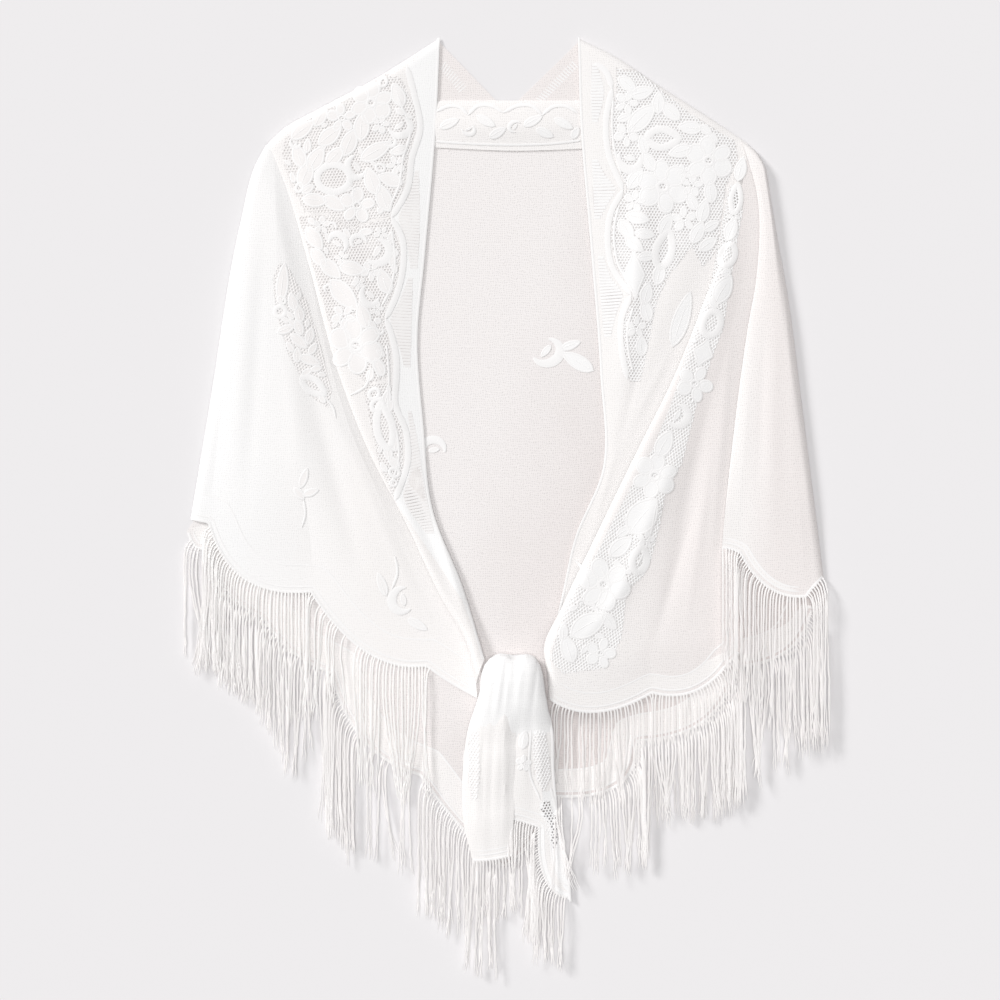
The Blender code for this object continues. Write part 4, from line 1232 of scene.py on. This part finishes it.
# %% Back, neck and tail lace
MOTIFS["back_panel"] = motifs(
    ("scroll", 33, 132, 190, 34, 29), ("leaf", 54, 137, 20, 19, 8), ("leaf", 60, 123, 150, 32, 13),
    ("scroll", -62, 48, 330, 26, 24), ("leaf", -42, -113, 60, 22, 8), ("leaf", -31, -210, 80, 34, 12))
CORDS["neck_fold_band"] = [
    *cords(3.0, 0.2, [(-60, 335), (-50, 340), (-40, 339), (-33, 332)],
           [(-33, 332), (-25, 340), (-13, 340), (-3, 334)], [(-3, 334), (8, 340), (21, 340), (30, 332)],
           [(30, 332), (38, 339), (50, 340), (60, 334)]),
    *cords(2.0, 0.16, [(-62, 310), (-31, 308), (3, 307), (37, 308), (64, 311)]),
]
MOTIFS["neck_fold_band"] = motifs(
    ("leaf", -49, 325, 24, 19, 8), ("scroll", -33, 320, 160, 15, 12), ("leaf", -18, 327, -30, 19, 8),
    ("leaf", -8, 317, 30, 17, 8), ("scroll", 7, 322, 20, 15, 12), ("leaf", 22, 327, 28, 19, 8),
    ("leaf", 32, 317, -24, 17, 8), ("leaf", 48, 325, -28, 19, 8), ("leaf", 58, 317, 60, 12, 7))
FIELDS["tail_pointed"] = [
    Field([(21, -188), (31, -183), (35, -209), (37, -229), (31, -241), (25, -231), (22, -212)]),
    Field([(29, -248), (36, -251), (42, -266), (43, -283), (40, -290), (34, -280), (31, -266)],
          through=True),
]
MOTIFS["tail_pointed"] = motifs(
    ("flower", 14, -176, 30, 16, 14), ("leaf", 14, -197, 80, 17, 9), ("flower", 14, -217, 10, 14, 13),
    ("leaf", 28, -175, 110, 15, 8))
CORDS["tail_pointed"] = [
    *cords(2.0, 0.2, [(20, -161), (20, -190), (20, -229), (28, -248)]),
    *cords(2.4, 0.2, [(37, -238), (43, -263), (48, -292), (51, -317)]),
]
FIELDS["tail_wide"] = [
    Field([(-31, -183), (-26, -178), (-24, -198), (-23, -224), (-25, -248), (-30, -249), (-32, -232),
           (-33, -207)]),
]
DENSE["tail_wide"] = [[(-21, -156), (-3, -156), (-3, -232), (-4, -292), (-20, -292), (-21, -232)]]
DENSE["tail_pointed"] = [[(29, -241), (45, -241), (62, -334), (45, -339), (28, -317)]]
LADDERS["neck_edge_left"] = [Ladder(smooth((-52, 378), (-35, 357)), smooth((-56, 371), (-41, 352)))]
LADDERS["neck_edge_right"] = [Ladder(smooth((55, 378), (25, 347)), smooth((60, 373), (31, 344)))]
print("fields of net:", sum(len(fields) for fields in FIELDS.values()))

# %% [markdown]
# The filling works like packing stones: the largest come first, each at a place drawn by seeded
# chance, and one is kept only where it lies wholly in its field and clear of what is there. Then
# smaller ones fill the gaps. Their turns follow a slow swirl, so that neighbours run together.

# %% Filling the fields
TRIES, SIZE_STEPS = 260, 7
ROOM = 0.38
SMALLEST_FLOWER = 11
LEAF_WIDTH, OTHER_WIDTH = 0.55, 0.85


def swirl(x, y):
    """The turn in degrees of a filling motif at a place."""
    return 62 + 75 * np.sin(x / 19) + 60 * np.cos(y / 24)


def filled(field, kept):
    """Smaller motifs for the room that the main ones leave in a field."""
    if not field.kinds:
        return []
    outline = np.array(field.outline, float)
    found = list(kept)
    for size in np.linspace(field.largest, field.smallest, SIZE_STEPS):
        for x, y in chance.uniform(outline.min(axis=0), outline.max(axis=0), (TRIES, 2)):
            kind = str(chance.choice(field.kinds))
            width = size * (LEAF_WIDTH if kind == "leaf" else OTHER_WIDTH)
            kind = "leaf" if size < SMALLEST_FLOWER and kind == "flower" else kind
            motif = Motif(kind, x, y, swirl(x, y), size, width)
            if not inside(placed(round_shape(8), motif), outline).all():
                continue
            reach = (size + width) / 2
            if all(np.hypot(x - other.x, y - other.y) > ROOM * (reach + (other.length + other.width) / 2)
                   for other in found):
                found.append(motif)
    return found[len(kept):]


for name, fields in FIELDS.items():
    for field in fields:
        MOTIFS[name] = MOTIFS.get(name, []) + filled(field, MOTIFS.get(name, []))
    print(name, "has", len(MOTIFS[name]), "motifs")

# %% [markdown]
# ## Dressing the panels
#
# Each panel becomes two pieces. The sheet has the plain cloth, with a shallow veil in place of
# it where the lace is open, and the net over that. The lace has everything that is worked on
# top: cords, motifs, ladder rungs, hems. On the real shawl they are one fabric, but the yarn is
# thicker where it is raised, and separate pieces keep each mesh simple.

# %% Sheets with open lace
VEIL_DEPTH = 0.25


def ladder_outline(ladder):
    share = np.linspace(0, 1, 13)
    return np.vstack([ladder.outer.at(share), ladder.inner.at(share[::-1])])


def within(points, outlines):
    """True for the points that lie inside any of some outlines."""
    result = np.zeros(len(points), bool)
    for outline in outlines:
        result |= inside(points, outline)
    return result


def make_sheet(name):
    """The plain cloth with its net. Behind the net is the next layer of the fold, or nothing."""
    cloth, look, fields = cloths[name], LOOKS[name], FIELDS.get(name, [])
    middles = cloth.points[cloth.quads].mean(axis=1)[:, :2]
    is_open = within(middles, [field.outline for field in fields])
    is_through = within(middles, [field.outline for field in fields if field.through])
    is_ladder = within(middles, map(ladder_outline, LADDERS.get(name, []))) & ~is_open
    is_dense = within(middles, DENSE.get(name, [])) & ~is_open & ~is_ladder
    work = Work(name + "_sheet", [tones[look.plain], tones[look.dense], tones[look.veil], lace_yarn])
    faces = cloth.quads[:, ::-1]
    work.add(cloth.points, faces[~is_open & ~is_ladder & ~is_dense])
    work.add(cloth.points, faces[is_dense], slot=1)
    # The ladders' slits and the veil under the net have the veil's tone, which on the lapels and the pointed
    # tail is painted shade.
    work.add(cloth.points, faces[is_ladder], slot=2)
    work.add(cloth.points - (0, 0, VEIL_DEPTH), faces[is_open & ~is_through], slot=2)
    for field in fields:
        net(work, cloth, field.outline, look.net_turn)
    return work.make()


sheets = {name: make_sheet(name) for name in cloths}

# %% [markdown]
# The hem is a row of lobes with a dense border: a cord right at the edge, a thin groove, and a
# broad band of close stitches up to a second cord further in. Free edges have only a thin cord.
# A trim is one cord: its distance from the edge, its width and height, and the reach over which
# the line's direction is taken, which is longer further in, so that cusps are rounded off there.

# %% Hem tables
HEM_START, HEM_END = 0.004, 0.996
Hem = namedtuple("Hem", "line depth end", defaults=[HEM_END])
HEMS = {
    "left_wing": [Hem(LEFT_HEM, 24)],
    "right_front": [Hem(RIGHT_FRONT_HEM, 17)],
    "right_wing": [Hem(RIGHT_WING_HEM, 9, 0.74)],
    "back_panel": [Hem(BACK_HEM_LEFT, 26), Hem(BACK_HEM_RIGHT, 24)],
    "tail_wide": [Hem(WIDE_TAIL_HEM, 9)],
    "tail_pointed": [Hem(POINTED_TAIL_HEM, 11)],
}
Trim = namedtuple("Trim", "distance width height reach")
EDGE_TRIM = Trim(1.2, 2.4, 0.22, 0.012)
GROOVE_TRIM = Trim(5.4, 1.6, 0.12, 0.02)
INNER_TRIM = Trim(None, 1.4, 0.08, 0.035)
TRIM_STEP, TRIM_LIFT = 2.5, 0.12
STITCHES_FROM, STITCHES_LIFT, STITCHES_EDGE_LIFT = 6.2, 0.09, 0.05
STITCHES_REACH, STITCHES_COLUMNS, STITCHES_FADE = 0.032, 7, 0.14
print("panels with a hem:", ", ".join(HEMS))

# %% [markdown]
# Each cord of a hem is the hem's own line, moved in. Near the hem's ends a line that is moved in
# can leave the cloth, so only its longest stretch on the cloth is kept.

# %% Working a hem
def inset(line, distance, share, reach, side=1):
    """Places some distance in from a line; side is 1 where the cloth lies to its left."""
    return line.at(share) - side * line.outward(share, reach) * distance


def covered(cloth, path):
    """The longest stretch of a path that lies on the cloth."""
    runs, best = [], []
    for point, there in zip(path, cloth.under(path)):
        runs = runs + [point] if there else []
        best = runs if len(runs) > len(best) else best
    return np.array(best)


def close_stitches(work, cloth, hem):
    """The broad flat band of a hem, which narrows towards the hem's end."""
    share = hem.line.spaced(3.0, 0.0, hem.end)
    fade = np.clip((hem.end - share) / STITCHES_FADE, 0, 1)[:, None]
    broad = hem.depth - STITCHES_FROM
    flat = np.stack([inset(hem.line, STITCHES_FROM + part * broad * fade, share, STITCHES_REACH)
                     for part in np.linspace(0, 1, STITCHES_COLUMNS)], axis=1)
    rise = np.full(STITCHES_COLUMNS, STITCHES_LIFT)
    rise[[0, -1]] = STITCHES_EDGE_LIFT
    quads = quads_of(len(share), STITCHES_COLUMNS)
    quads = quads[cloth.under(flat)[quads].all(axis=1)]
    work.add(cloth.laid(flat, np.tile(rise, len(share))), quads[:, ::-1], slot=1)


def dress_hem(work, cloth, hem):
    """A cord at the edge, one past the groove and one at the hem's depth, and close stitches."""
    for trim in (EDGE_TRIM, GROOVE_TRIM, INNER_TRIM._replace(distance=hem.depth)):
        at_edge = trim is EDGE_TRIM
        share = hem.line.spaced(TRIM_STEP, HEM_START, HEM_END if at_edge else hem.end)
        path = covered(cloth, inset(hem.line, trim.distance, share, trim.reach))
        band(work, cloth, path, trim.width, trim.height, lift=TRIM_LIFT, taper=not at_edge)
    close_stitches(work, cloth, hem)


print("the left front's hem has its inner cord", HEMS["left_wing"][0].depth, "mm from its edge")

# %% [markdown]
# With the tables and the tools at hand, the lace of a panel is a few short loops. A panel
# without any of it has no lace piece.

# %% Lace pieces
FREE_EDGES = {
    "left_lapel": (LEFT_FREE_EDGE, -1),
    "right_lapel": (RIGHT_FREE_EDGE, 1),
    "tail_pointed": (PANELS["tail_pointed"].right, -1),
}
RUNG_PITCH, RUNG_HEIGHT, RUNG_LIFT = 2.6, 0.09, 0.08
RUNG_WIDTH, NECK_RUNG_WIDTH = 2.1, 1.0
FREE_EDGE_TRIM, FREE_EDGE_LIFT = Trim(1.1, 2.2, 0.16, 0.012), 0.1


def rungs(work, cloth, ladder):
    """Raised bars across a ladder's slits."""
    share = ladder.outer.spaced(RUNG_PITCH)
    width = NECK_RUNG_WIDTH if cloth.name.startswith("neck_edge") else RUNG_WIDTH
    threads(work, cloth.laid(ladder.outer.at(share), RUNG_LIFT),
            cloth.laid(ladder.inner.at(share), RUNG_LIFT), width, RUNG_HEIGHT)


def make_lace(name):
    cloth = cloths[name]
    work = Work(name + "_lace", [lace_yarn, tones[LOOKS[name].hem]])
    for ladder in LADDERS.get(name, []):
        rungs(work, cloth, ladder)
    for cord in CORDS.get(name, []):
        line = smooth(*cord.places)
        band(work, cloth, line.at(line.spaced(2.0)), cord.width, cord.height, taper=True)
    for motif in MOTIFS.get(name, []):
        DRAW[motif.kind](work, cloth, motif)
    for hem in HEMS.get(name, []):
        dress_hem(work, cloth, hem)
    if name in FREE_EDGES:
        line, side = FREE_EDGES[name]
        path = inset(line, FREE_EDGE_TRIM.distance, line.spaced(3.0), FREE_EDGE_TRIM.reach, side)
        band(work, cloth, path, FREE_EDGE_TRIM.width, FREE_EDGE_TRIM.height, lift=FREE_EDGE_LIFT)
    return work.make() if work.count else None


laces = {name: make_lace(name) for name in cloths}
for pieces in (sheets, laces):
    for name, piece in pieces.items():
        if piece:
            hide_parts(name)

# %% [markdown]
# ## The knot
#
# Both ends are wrapped once and pulled through, so the knot is a short band of cloth, gathered
# into creases that run over it from top to bottom. It is lofted from rows of rounded boxes. Each
# row has its place down the knot, its left and right side, and its lowest and highest point. A
# crease has its place across, its height and its width. The upper edge bulges between creases.

# %% Knot tables
KNOT_ROWS = [(-126, -10, 22, 5, 12), (-128, -15, 25, 2.6, 17), (-132, -19, 28, 1.8, 20.6),
             (-139, -21.5, 30, 1.8, 23.2), (-147, -22.5, 31, 1.8, 23.8), (-156, -23, 32, 2.0, 23.0),
             (-166, -26, 34, 2.4, 21.4), (-178, -30, 36, 3.0, 19.2), (-190, -33, 38, 3.0, 17.0),
             (-202, -35, 39, 3.0, 15.0)]
KNOT_CREASES = [(-17, 0.4, 3.0), (-11.5, -0.5, 1.5), (-7.0, 0.5, 2.6), (-3.0, -0.7, 1.5),
                (0.5, 0.4, 2.0), (4.5, -1.0, 1.7), (10, 0.5, 2.8), (17, 0.4, 3.0), (23, -0.6, 1.8)]
KNOT_TOP = [(-24, -4.0), (-14, -0.4), (-6, 1.6), (0, 0.9), (4.5, -1.8), (9, -1.2), (16, 1.0), (24, -0.6),
            (32, -5.0)]
KNOT_STEPS, KNOT_SIDES = 42, 96
BOXY = 0.78
CREASE_LEAN = 0.12
MERGE_FROM, MERGE_TO = -166.0, -200.0
print("the knot is", MERGE_FROM - MERGE_TO, "mm long where it sinks into the tails")

# %% [markdown]
# A ring follows a rounded box, and the creases are pressed flat at its rim. The lower rings sink
# into the two tails, so that no edge shows there.

# %% Knot
def boxy(turns):
    """A sine or cosine that stays longer near 1 and -1, which makes a ring a rounded box."""
    return np.sign(turns) * np.abs(turns) ** BOXY


def knot_surface():
    """Rings of the knot."""
    rows = np.array(KNOT_ROWS, float)
    fine, share = np.linspace(0, 1, KNOT_STEPS), np.linspace(0, 1, len(rows))
    y, left, right, low, high = (np.interp(fine, share, column) for column in rows.T)
    angle = np.arange(KNOT_SIDES) / KNOT_SIDES * 2 * np.pi
    raised = boxy(np.sin(angle))
    x = ((left + right) / 2)[:, None] + ((right - left) / 2)[:, None] * boxy(np.cos(angle))
    z = ((low + high) / 2)[:, None] + ((high - low) / 2)[:, None] * raised
    bulge = np.interp(x, *np.transpose(KNOT_TOP)) * np.clip((y + 150) / 24, 0, 1)[:, None]
    lean = (y - y.mean())[:, None] * CREASE_LEAN
    pressed = np.clip((-y - 126) / 8, 0.2, 1)[:, None] * np.clip((y + 196) / 40, 0, 1)[:, None]
    for place, height, width in KNOT_CREASES:
        z = z + pressed * np.clip(raised, 0, 1) * height * np.exp(-((x - place - lean) / width) ** 2)
    grid = np.dstack([x, y[:, None] + bulge, z])
    free = eased(np.clip((y - MERGE_TO) / (MERGE_FROM - MERGE_TO), 0, 1))
    for row, keep in zip(grid, free):
        for point in row:
            tails = [cloths[name].height(*point[:2]) for name in ("tail_wide", "tail_pointed")]
            tail = max([3.0] + [height for height in tails if height is not None]) - 0.5
            point[2] = tail + (point[2] - tail) * keep
    return grid


knot_grid = knot_surface()
knot_work = Work("knot_cloth", [tones["dense_cloth"]])
knot_work.add(knot_grid.reshape(-1, 3), quads_of(KNOT_STEPS, KNOT_SIDES, ring_columns=True))
for ring, flip in ((knot_grid[0], 1), (knot_grid[-1], -1)):
    knot_work.add(np.vstack([ring, ring.mean(axis=0)]), fan_of(0, KNOT_SIDES, KNOT_SIDES)[:, ::flip])
knot = knot_work.make()
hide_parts("knot")

# %% [markdown]
# ## The fringe
#
# A row of the table says which hem a fringe hangs from, on which cloth, between which shares of
# the hem, and how far apart its strands are. `level` is how high it lies over what is beneath
# it. `tips` are places along the line that the tips reach, `sparse` has stretches where only a
# share of the strands is left, and `under` names the cloths that the strands lie on.

# %% Fringe tables
# Unless another yarn is given, a fringe has the yarn with painted shade.
Fringe = namedtuple("Fringe", "cloth hem start end pitch level tips under sparse yarn",
                    defaults=[(), (), shaded_yarn])
FRINGES = {
    "fringe_left_front": Fringe(
        "left_wing", LEFT_HEM, 0.062, 0.90, 2.9, 3.8,
        [(-275, -124), (-257, -134), (-231, -151), (-205, -168), (-184, -178), (-164, -180), (-150, -168),
         (-132, -170), (-125, -238), (-95, -243), (-65, -255), (-31, -249)],
        under=["back_panel"], sparse=[(-164, -127, 0.3), (-65, -43, 0.0), (-38, -23, 0.0)],
        yarn=bright_yarn),
    "fringe_back_left": Fringe(
        "back_panel", BACK_HEM_LEFT, 0.02, 0.985, 2.9, 4.6,
        [(-272, -122), (-235, -147), (-208, -175), (-197, -194), (-179, -234), (-171, -215), (-164, -194),
         (-157, -249), (-152, -265), (-142, -280), (-129, -295), (-115, -294), (-105, -299), (-82, -312),
         (-71, -339), (-53, -353), (-35, -360), (-25, -394), (-3, -399)],
        sparse=[(-166, -157, 0.2), (-124, -71, 0.45)]),
    "fringe_back_right": Fringe(
        "back_panel", BACK_HEM_RIGHT, 0.03, 0.97, 2.8, 7.0,
        [(-3, -398), (7, -385), (32, -334), (42, -313), (58, -309), (79, -306), (100, -302),
         (120, -300), (127, -260), (164, -260), (202, -241), (224, -224), (249, -200), (275, -194)],
        sparse=[(0, 37, 0.3), (42, 71, 0.6)]),
    "fringe_right_front": Fringe(
        "right_front", RIGHT_FRONT_HEM, 0.03, 0.97, 2.9, 2.2,
        [(39, -224), (58, -249), (79, -254), (113, -249), (126, -265), (164, -265), (183, -255),
         (202, -243)],
        under=["back_panel"], sparse=[(35, 122, 0.7)]),
    "fringe_right_wing": Fringe(
        "right_wing", RIGHT_WING_HEM, 0.01, 0.985, 2.6, 8.6,
        [(183, -141), (194, -156), (215, -177), (232, -194), (249, -204), (270, -202), (277, -196)],
        under=["back_panel", "right_front"]),
    "fringe_tail_wide": Fringe(
        "tail_wide", WIDE_TAIL_HEM, 0.02, 0.97, 2.4, 4.2,
        [(-29, -364), (-19, -347), (-6, -351), (5, -339)], under=["back_panel"]),
    "fringe_tail_pointed": Fringe(
        "tail_pointed", POINTED_TAIL_HEM, 0.03, 0.985, 2.5, 6.2,
        [(-1, -339), (15, -347), (24, -356), (32, -381), (45, -392), (54, -391)], under=["back_panel"]),
}
print("fringed hems:", len(FRINGES))

# %% [markdown]
# A strand leaves the hem square to it and soon runs straight down the table. Past the first
# quarter of its length it is drawn to its bundle, leans, sways and keeps the crimp of its yarn.
# First comes its path in the plane, then the heights at which it can lie along that path.

# %% The path of a strand
STRAND_STEPS = 18
CURL, CRIMP = 5.5, 0.75
SHORTEST = 14.0
FREE_SHARE = 0.25
LYING_APART, TABLE_LEVEL = 0.9, 0.5


def strand_path(start, out, tip_y, lean, sway, crossing):
    """A path in the plane that starts square to the hem, hangs straight and meets its bundle."""
    length = max(SHORTEST, start[1] - tip_y + CURL * (1 + out[1]) + 1)
    passed = length * np.linspace(0, 1, STRAND_STEPS) ** 1.15
    blend = np.exp(-passed / CURL)[:, None]
    way = out * blend + np.array([0.0, -1.0]) * (1 - blend)
    way /= np.linalg.norm(way, axis=1, keepdims=True)
    steps = np.diff(passed)[:, None] * (way[1:] + way[:-1]) / 2
    path = start + np.vstack([[0, 0], np.cumsum(steps, axis=0)])
    share = passed / length
    drawn = np.clip((share - FREE_SHARE) / (1 - FREE_SHARE), 0, 1) ** 1.3
    crimp = np.sin(passed / 2.6 + 5 * sway) * np.cos(passed / 9 + lean)
    path[:, 0] += crossing * drawn + lean * share ** 2.2 + sway * np.sin(share * 7 + lean) * share
    path[:, 0] += CRIMP * share * crimp
    return path


def lowest(path, names, level):
    """Heights a strand can lie at along its path: on the cloths named, or on the table."""
    heights = np.full(len(path), TABLE_LEVEL)
    for number, (x, y) in enumerate(path):
        for name in names:
            height = cloths[name].height(x, y)
            if height is not None:
                heights[number] = max(heights[number], height + LYING_APART)
    wide = np.maximum(np.maximum(heights, np.roll(heights, 1)), np.roll(heights, -1))
    wide[0], wide[-1] = heights[0], heights[-1]
    return wide + level


print("a strand has", STRAND_STEPS, "points along it")

# %% [markdown]
# A strand is two thin plies of yarn, side by side, which part a little near the tip. Each ply is
# a flattened tube with five sides.

# %% Plies and tubes
STRAND_SIDES = 5
PLY_RADIUS, PLY_FLATTENING, PLY_APART = 0.2, 2.1, 0.34
TIP_TAPER = 0.35
SIDE_WIDTH = 0.65


def plies(path):
    """A strand's two plies."""
    share = np.linspace(0, 1, len(path))
    fork = chance.uniform(0.2, 1.7) * share ** 7
    bend = chance.normal(0, 0.5) * share ** 5
    low = chance.uniform(0.0, 2.5) * share ** 7
    left, right = path.copy(), path.copy()
    left[:, 0] += bend - PLY_APART - fork
    right[:, 0] += bend + PLY_APART + fork
    right[:, 1] -= low
    return [left, right]


def tubes(work, paths):
    """Tubes along many paths of the same number of points."""
    along = np.gradient(paths, axis=1)
    along /= np.linalg.norm(along, axis=2, keepdims=True)
    square = np.stack([along[..., 1], -along[..., 0], np.zeros(along.shape[:2])], axis=-1)
    square /= np.maximum(np.linalg.norm(square, axis=2, keepdims=True), 1e-9)
    over = np.cross(square, along)
    angle = np.arange(STRAND_SIDES) / STRAND_SIDES * 2 * np.pi
    taper = np.append(np.ones(STRAND_STEPS - 1), TIP_TAPER)
    ring = (square[:, :, None] * np.cos(angle)[:, None] * PLY_FLATTENING
            + over[:, :, None] * np.sin(angle)[:, None])
    points = paths[:, :, None] + ring * (PLY_RADIUS * taper)[None, :, None, None]
    faces = quads_of(STRAND_STEPS, STRAND_SIDES, ring_columns=True)
    around = np.arange(STRAND_SIDES) * SIDE_WIDTH
    for tube, path in zip(points, paths):
        places = np.stack(np.broadcast_arrays(around, lengths(path)[:, None]), axis=-1)
        work.add(tube.reshape(-1, 3), faces, places.reshape(-1, 2))


print("a ply is", round(2 * PLY_RADIUS * PLY_FLATTENING, 2), "mm wide")

# %% [markdown]
# Then a whole fringe. Neighbours fall into bundles that draw together or cross, the tips are a
# little uneven, and every strand is held up by the hem where it starts. Slow waves over the
# bundles' numbers and seeded chance make lengths, gaps and leans uneven around the table.

# %% Making fringes
UNEVEN_PITCH, UNEVEN_LEAN, UNEVEN_SWAY, UNEVEN_TIP = 0.12, 1.0, 0.6, 3.6
BUNDLE_CHANCE = 0.36
HELD_OVER = 9.0


def make_fringe(name, fringe):
    count = int(fringe.hem.length * (fringe.end - fringe.start) / fringe.pitch)
    share = np.linspace(fringe.start, fringe.end, count)
    share = share + chance.normal(0, UNEVEN_PITCH, count) * fringe.pitch / fringe.hem.length
    starts, outs = fringe.hem.at(share), fringe.hem.outward(share, 0.012)
    ends = np.interp(starts[:, 0], *np.array(fringe.tips, float).T)
    bundle = np.cumsum(chance.random(count) < BUNDLE_CHANCE)
    paths = []
    for number, (start, out, group) in enumerate(zip(starts, outs, bundle)):
        kept = [keep for low, high, keep in fringe.sparse if low <= start[0] < high]
        if kept and chance.random() > kept[0]:
            continue
        middle = starts[bundle == group, 0].mean()
        crossing = (middle - start[0]) * (0.9 + 0.7 * np.sin(group * 2.4))
        lean = 1.6 * np.sin(group * 1.7) + chance.normal(0, UNEVEN_LEAN)
        tip = ends[number] + chance.normal(0, UNEVEN_TIP) + 3 * np.sin(group * 3.1)
        flat = strand_path(start - out, out, tip, lean, chance.normal(0, UNEVEN_SWAY), crossing)
        rest = lowest(flat, fringe.under, fringe.level + (0.5 if number % 2 else -0.5))
        top = cloths[fringe.cloth].laid(flat[:1], 0.3)[0, 2]
        held = np.exp(-(lengths(flat) / HELD_OVER) ** 2)
        heights = rest * (1 - held) + top * held
        paths += plies(np.column_stack([flat, np.maximum(heights, np.minimum(rest, top))]))
    work = Work(name + "_strands", [fringe.yarn])
    tubes(work, np.array(paths))
    print(name, "has", len(paths) // 2, "strands of two plies")
    return work.make()


strands = {}
for name, fringe in FRINGES.items():
    strands[name] = make_fringe(name, fringe)
    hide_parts(name)

# %% [markdown]
# ## Real sizes of the cloth
#
# This table gives the size that each stretch of cloth would have when laid out flat, so that
# someone could cut it. Only the part that shows is stated for each, as width, length and area in
# metres, since a hidden overlap isn't built.

# %% Sheets of cloth
Cut = namedtuple("Cut", "width length area held rests_on", defaults=[()])
CUTS = {
    "back_panel": Cut(0.80, 0.65, 0.260, "laid"),
    "neck_edge_left": Cut(0.07, 0.06, 0.0018, "laid"),
    "neck_edge_right": Cut(0.07, 0.06, 0.0019, "laid"),
    "left_wing": Cut(0.30, 0.49, 0.0513, "folded", ("back_panel",)),
    "left_lapel": Cut(0.17, 0.54, 0.0361, "folded", ("left_wing",)),
    "right_lapel": Cut(0.17, 0.51, 0.0370, "folded", ("back_panel",)),
    "right_front": Cut(0.18, 0.50, 0.0417, "folded", ("right_lapel",)),
    "right_wing": Cut(0.11, 0.38, 0.0187, "folded", ("right_front",)),
    "neck_fold_band": Cut(0.133, 0.043, 0.0057, "folded", ("back_panel",)),
    "tail_wide": Cut(0.055, 0.139, 0.0067, "gathered", ("back_panel",)),
    "tail_pointed": Cut(0.046, 0.197, 0.0051, "gathered", ("back_panel",)),
}
GOES_WITH = {name: [laces[name]] if laces[name] else [] for name in CUTS}
for name, fringe in FRINGES.items():
    GOES_WITH[fringe.cloth].append(strands[name])
GOES_WITH["tail_wide"].append(knot)
print("declared", len(CUTS), "sheets of cloth")

# %% [markdown]
# ## The stage, the light and the camera
#
# The shawl lies on a plain pale table and is seen from straight above through a long lens. A
# broad window light from the upper left gives the soft shadows that let white lace be read on
# white. A panel right overhead and an even, weaker light from all round fill them.

# %% Floor and lights
FLOOR_GREY = (0.812, 0.797, 0.805, 1.0)
ROOM_WHITE, ROOM_STRENGTH = (1.0, 0.995, 0.998, 1.0), 0.285

bpy.ops.mesh.primitive_plane_add(size=40.0, location=(0, 0, -0.0004))
floor = bpy.context.object
floor.name = "floor"
floor.data.materials.append(new_material("table", FLOOR_GREY, 0.9, 0.0)[0])


def soft_light(name, way, energy, spread):
    """A sun lamp that shines along a direction, as wide as a window or a panel seen from here."""
    lamp_data = bpy.data.lights.new(name, "SUN")
    lamp_data.energy = energy
    lamp_data.angle = np.radians(spread)
    lamp = bpy.data.objects.new(name, lamp_data)
    lamp.rotation_mode = "QUATERNION"
    lamp.rotation_quaternion = Vector(way).to_track_quat("-Z", "Y")
    bpy.context.scene.collection.objects.link(lamp)


soft_light("window", (0.80, -0.56, -0.54), energy=1.95, spread=16)
soft_light("overhead_panel", (0.04, -0.03, -1.0), energy=1.49, spread=24)

world = bpy.data.worlds.new("room")
world.use_nodes = True
world.node_tree.nodes["Background"].inputs["Color"].default_value = ROOM_WHITE
world.node_tree.nodes["Background"].inputs["Strength"].default_value = ROOM_STRENGTH
bpy.context.scene.world = world
print("lamps:", len(bpy.data.lights))

# %% [markdown]
# The camera looks straight down. How high it stands follows from its lens and from how much of
# the table it should see.

# %% Camera
VIEW_WIDTH, VIEW_MIDDLE = 850.0, (-6.0, 5.5)
LENS = 85.0

camera_data = bpy.data.cameras.new("camera")
camera_data.lens = LENS
camera = bpy.data.objects.new("camera", camera_data)
camera_height = VIEW_WIDTH * LENS / camera_data.sensor_width
camera.location = Vector((*VIEW_MIDDLE, camera_height)) * MM
bpy.context.scene.collection.objects.link(camera)
bpy.context.scene.camera = camera
bpy.context.scene.view_settings.view_transform = "Standard"
print("the camera is", round(camera_height), "mm above the table")
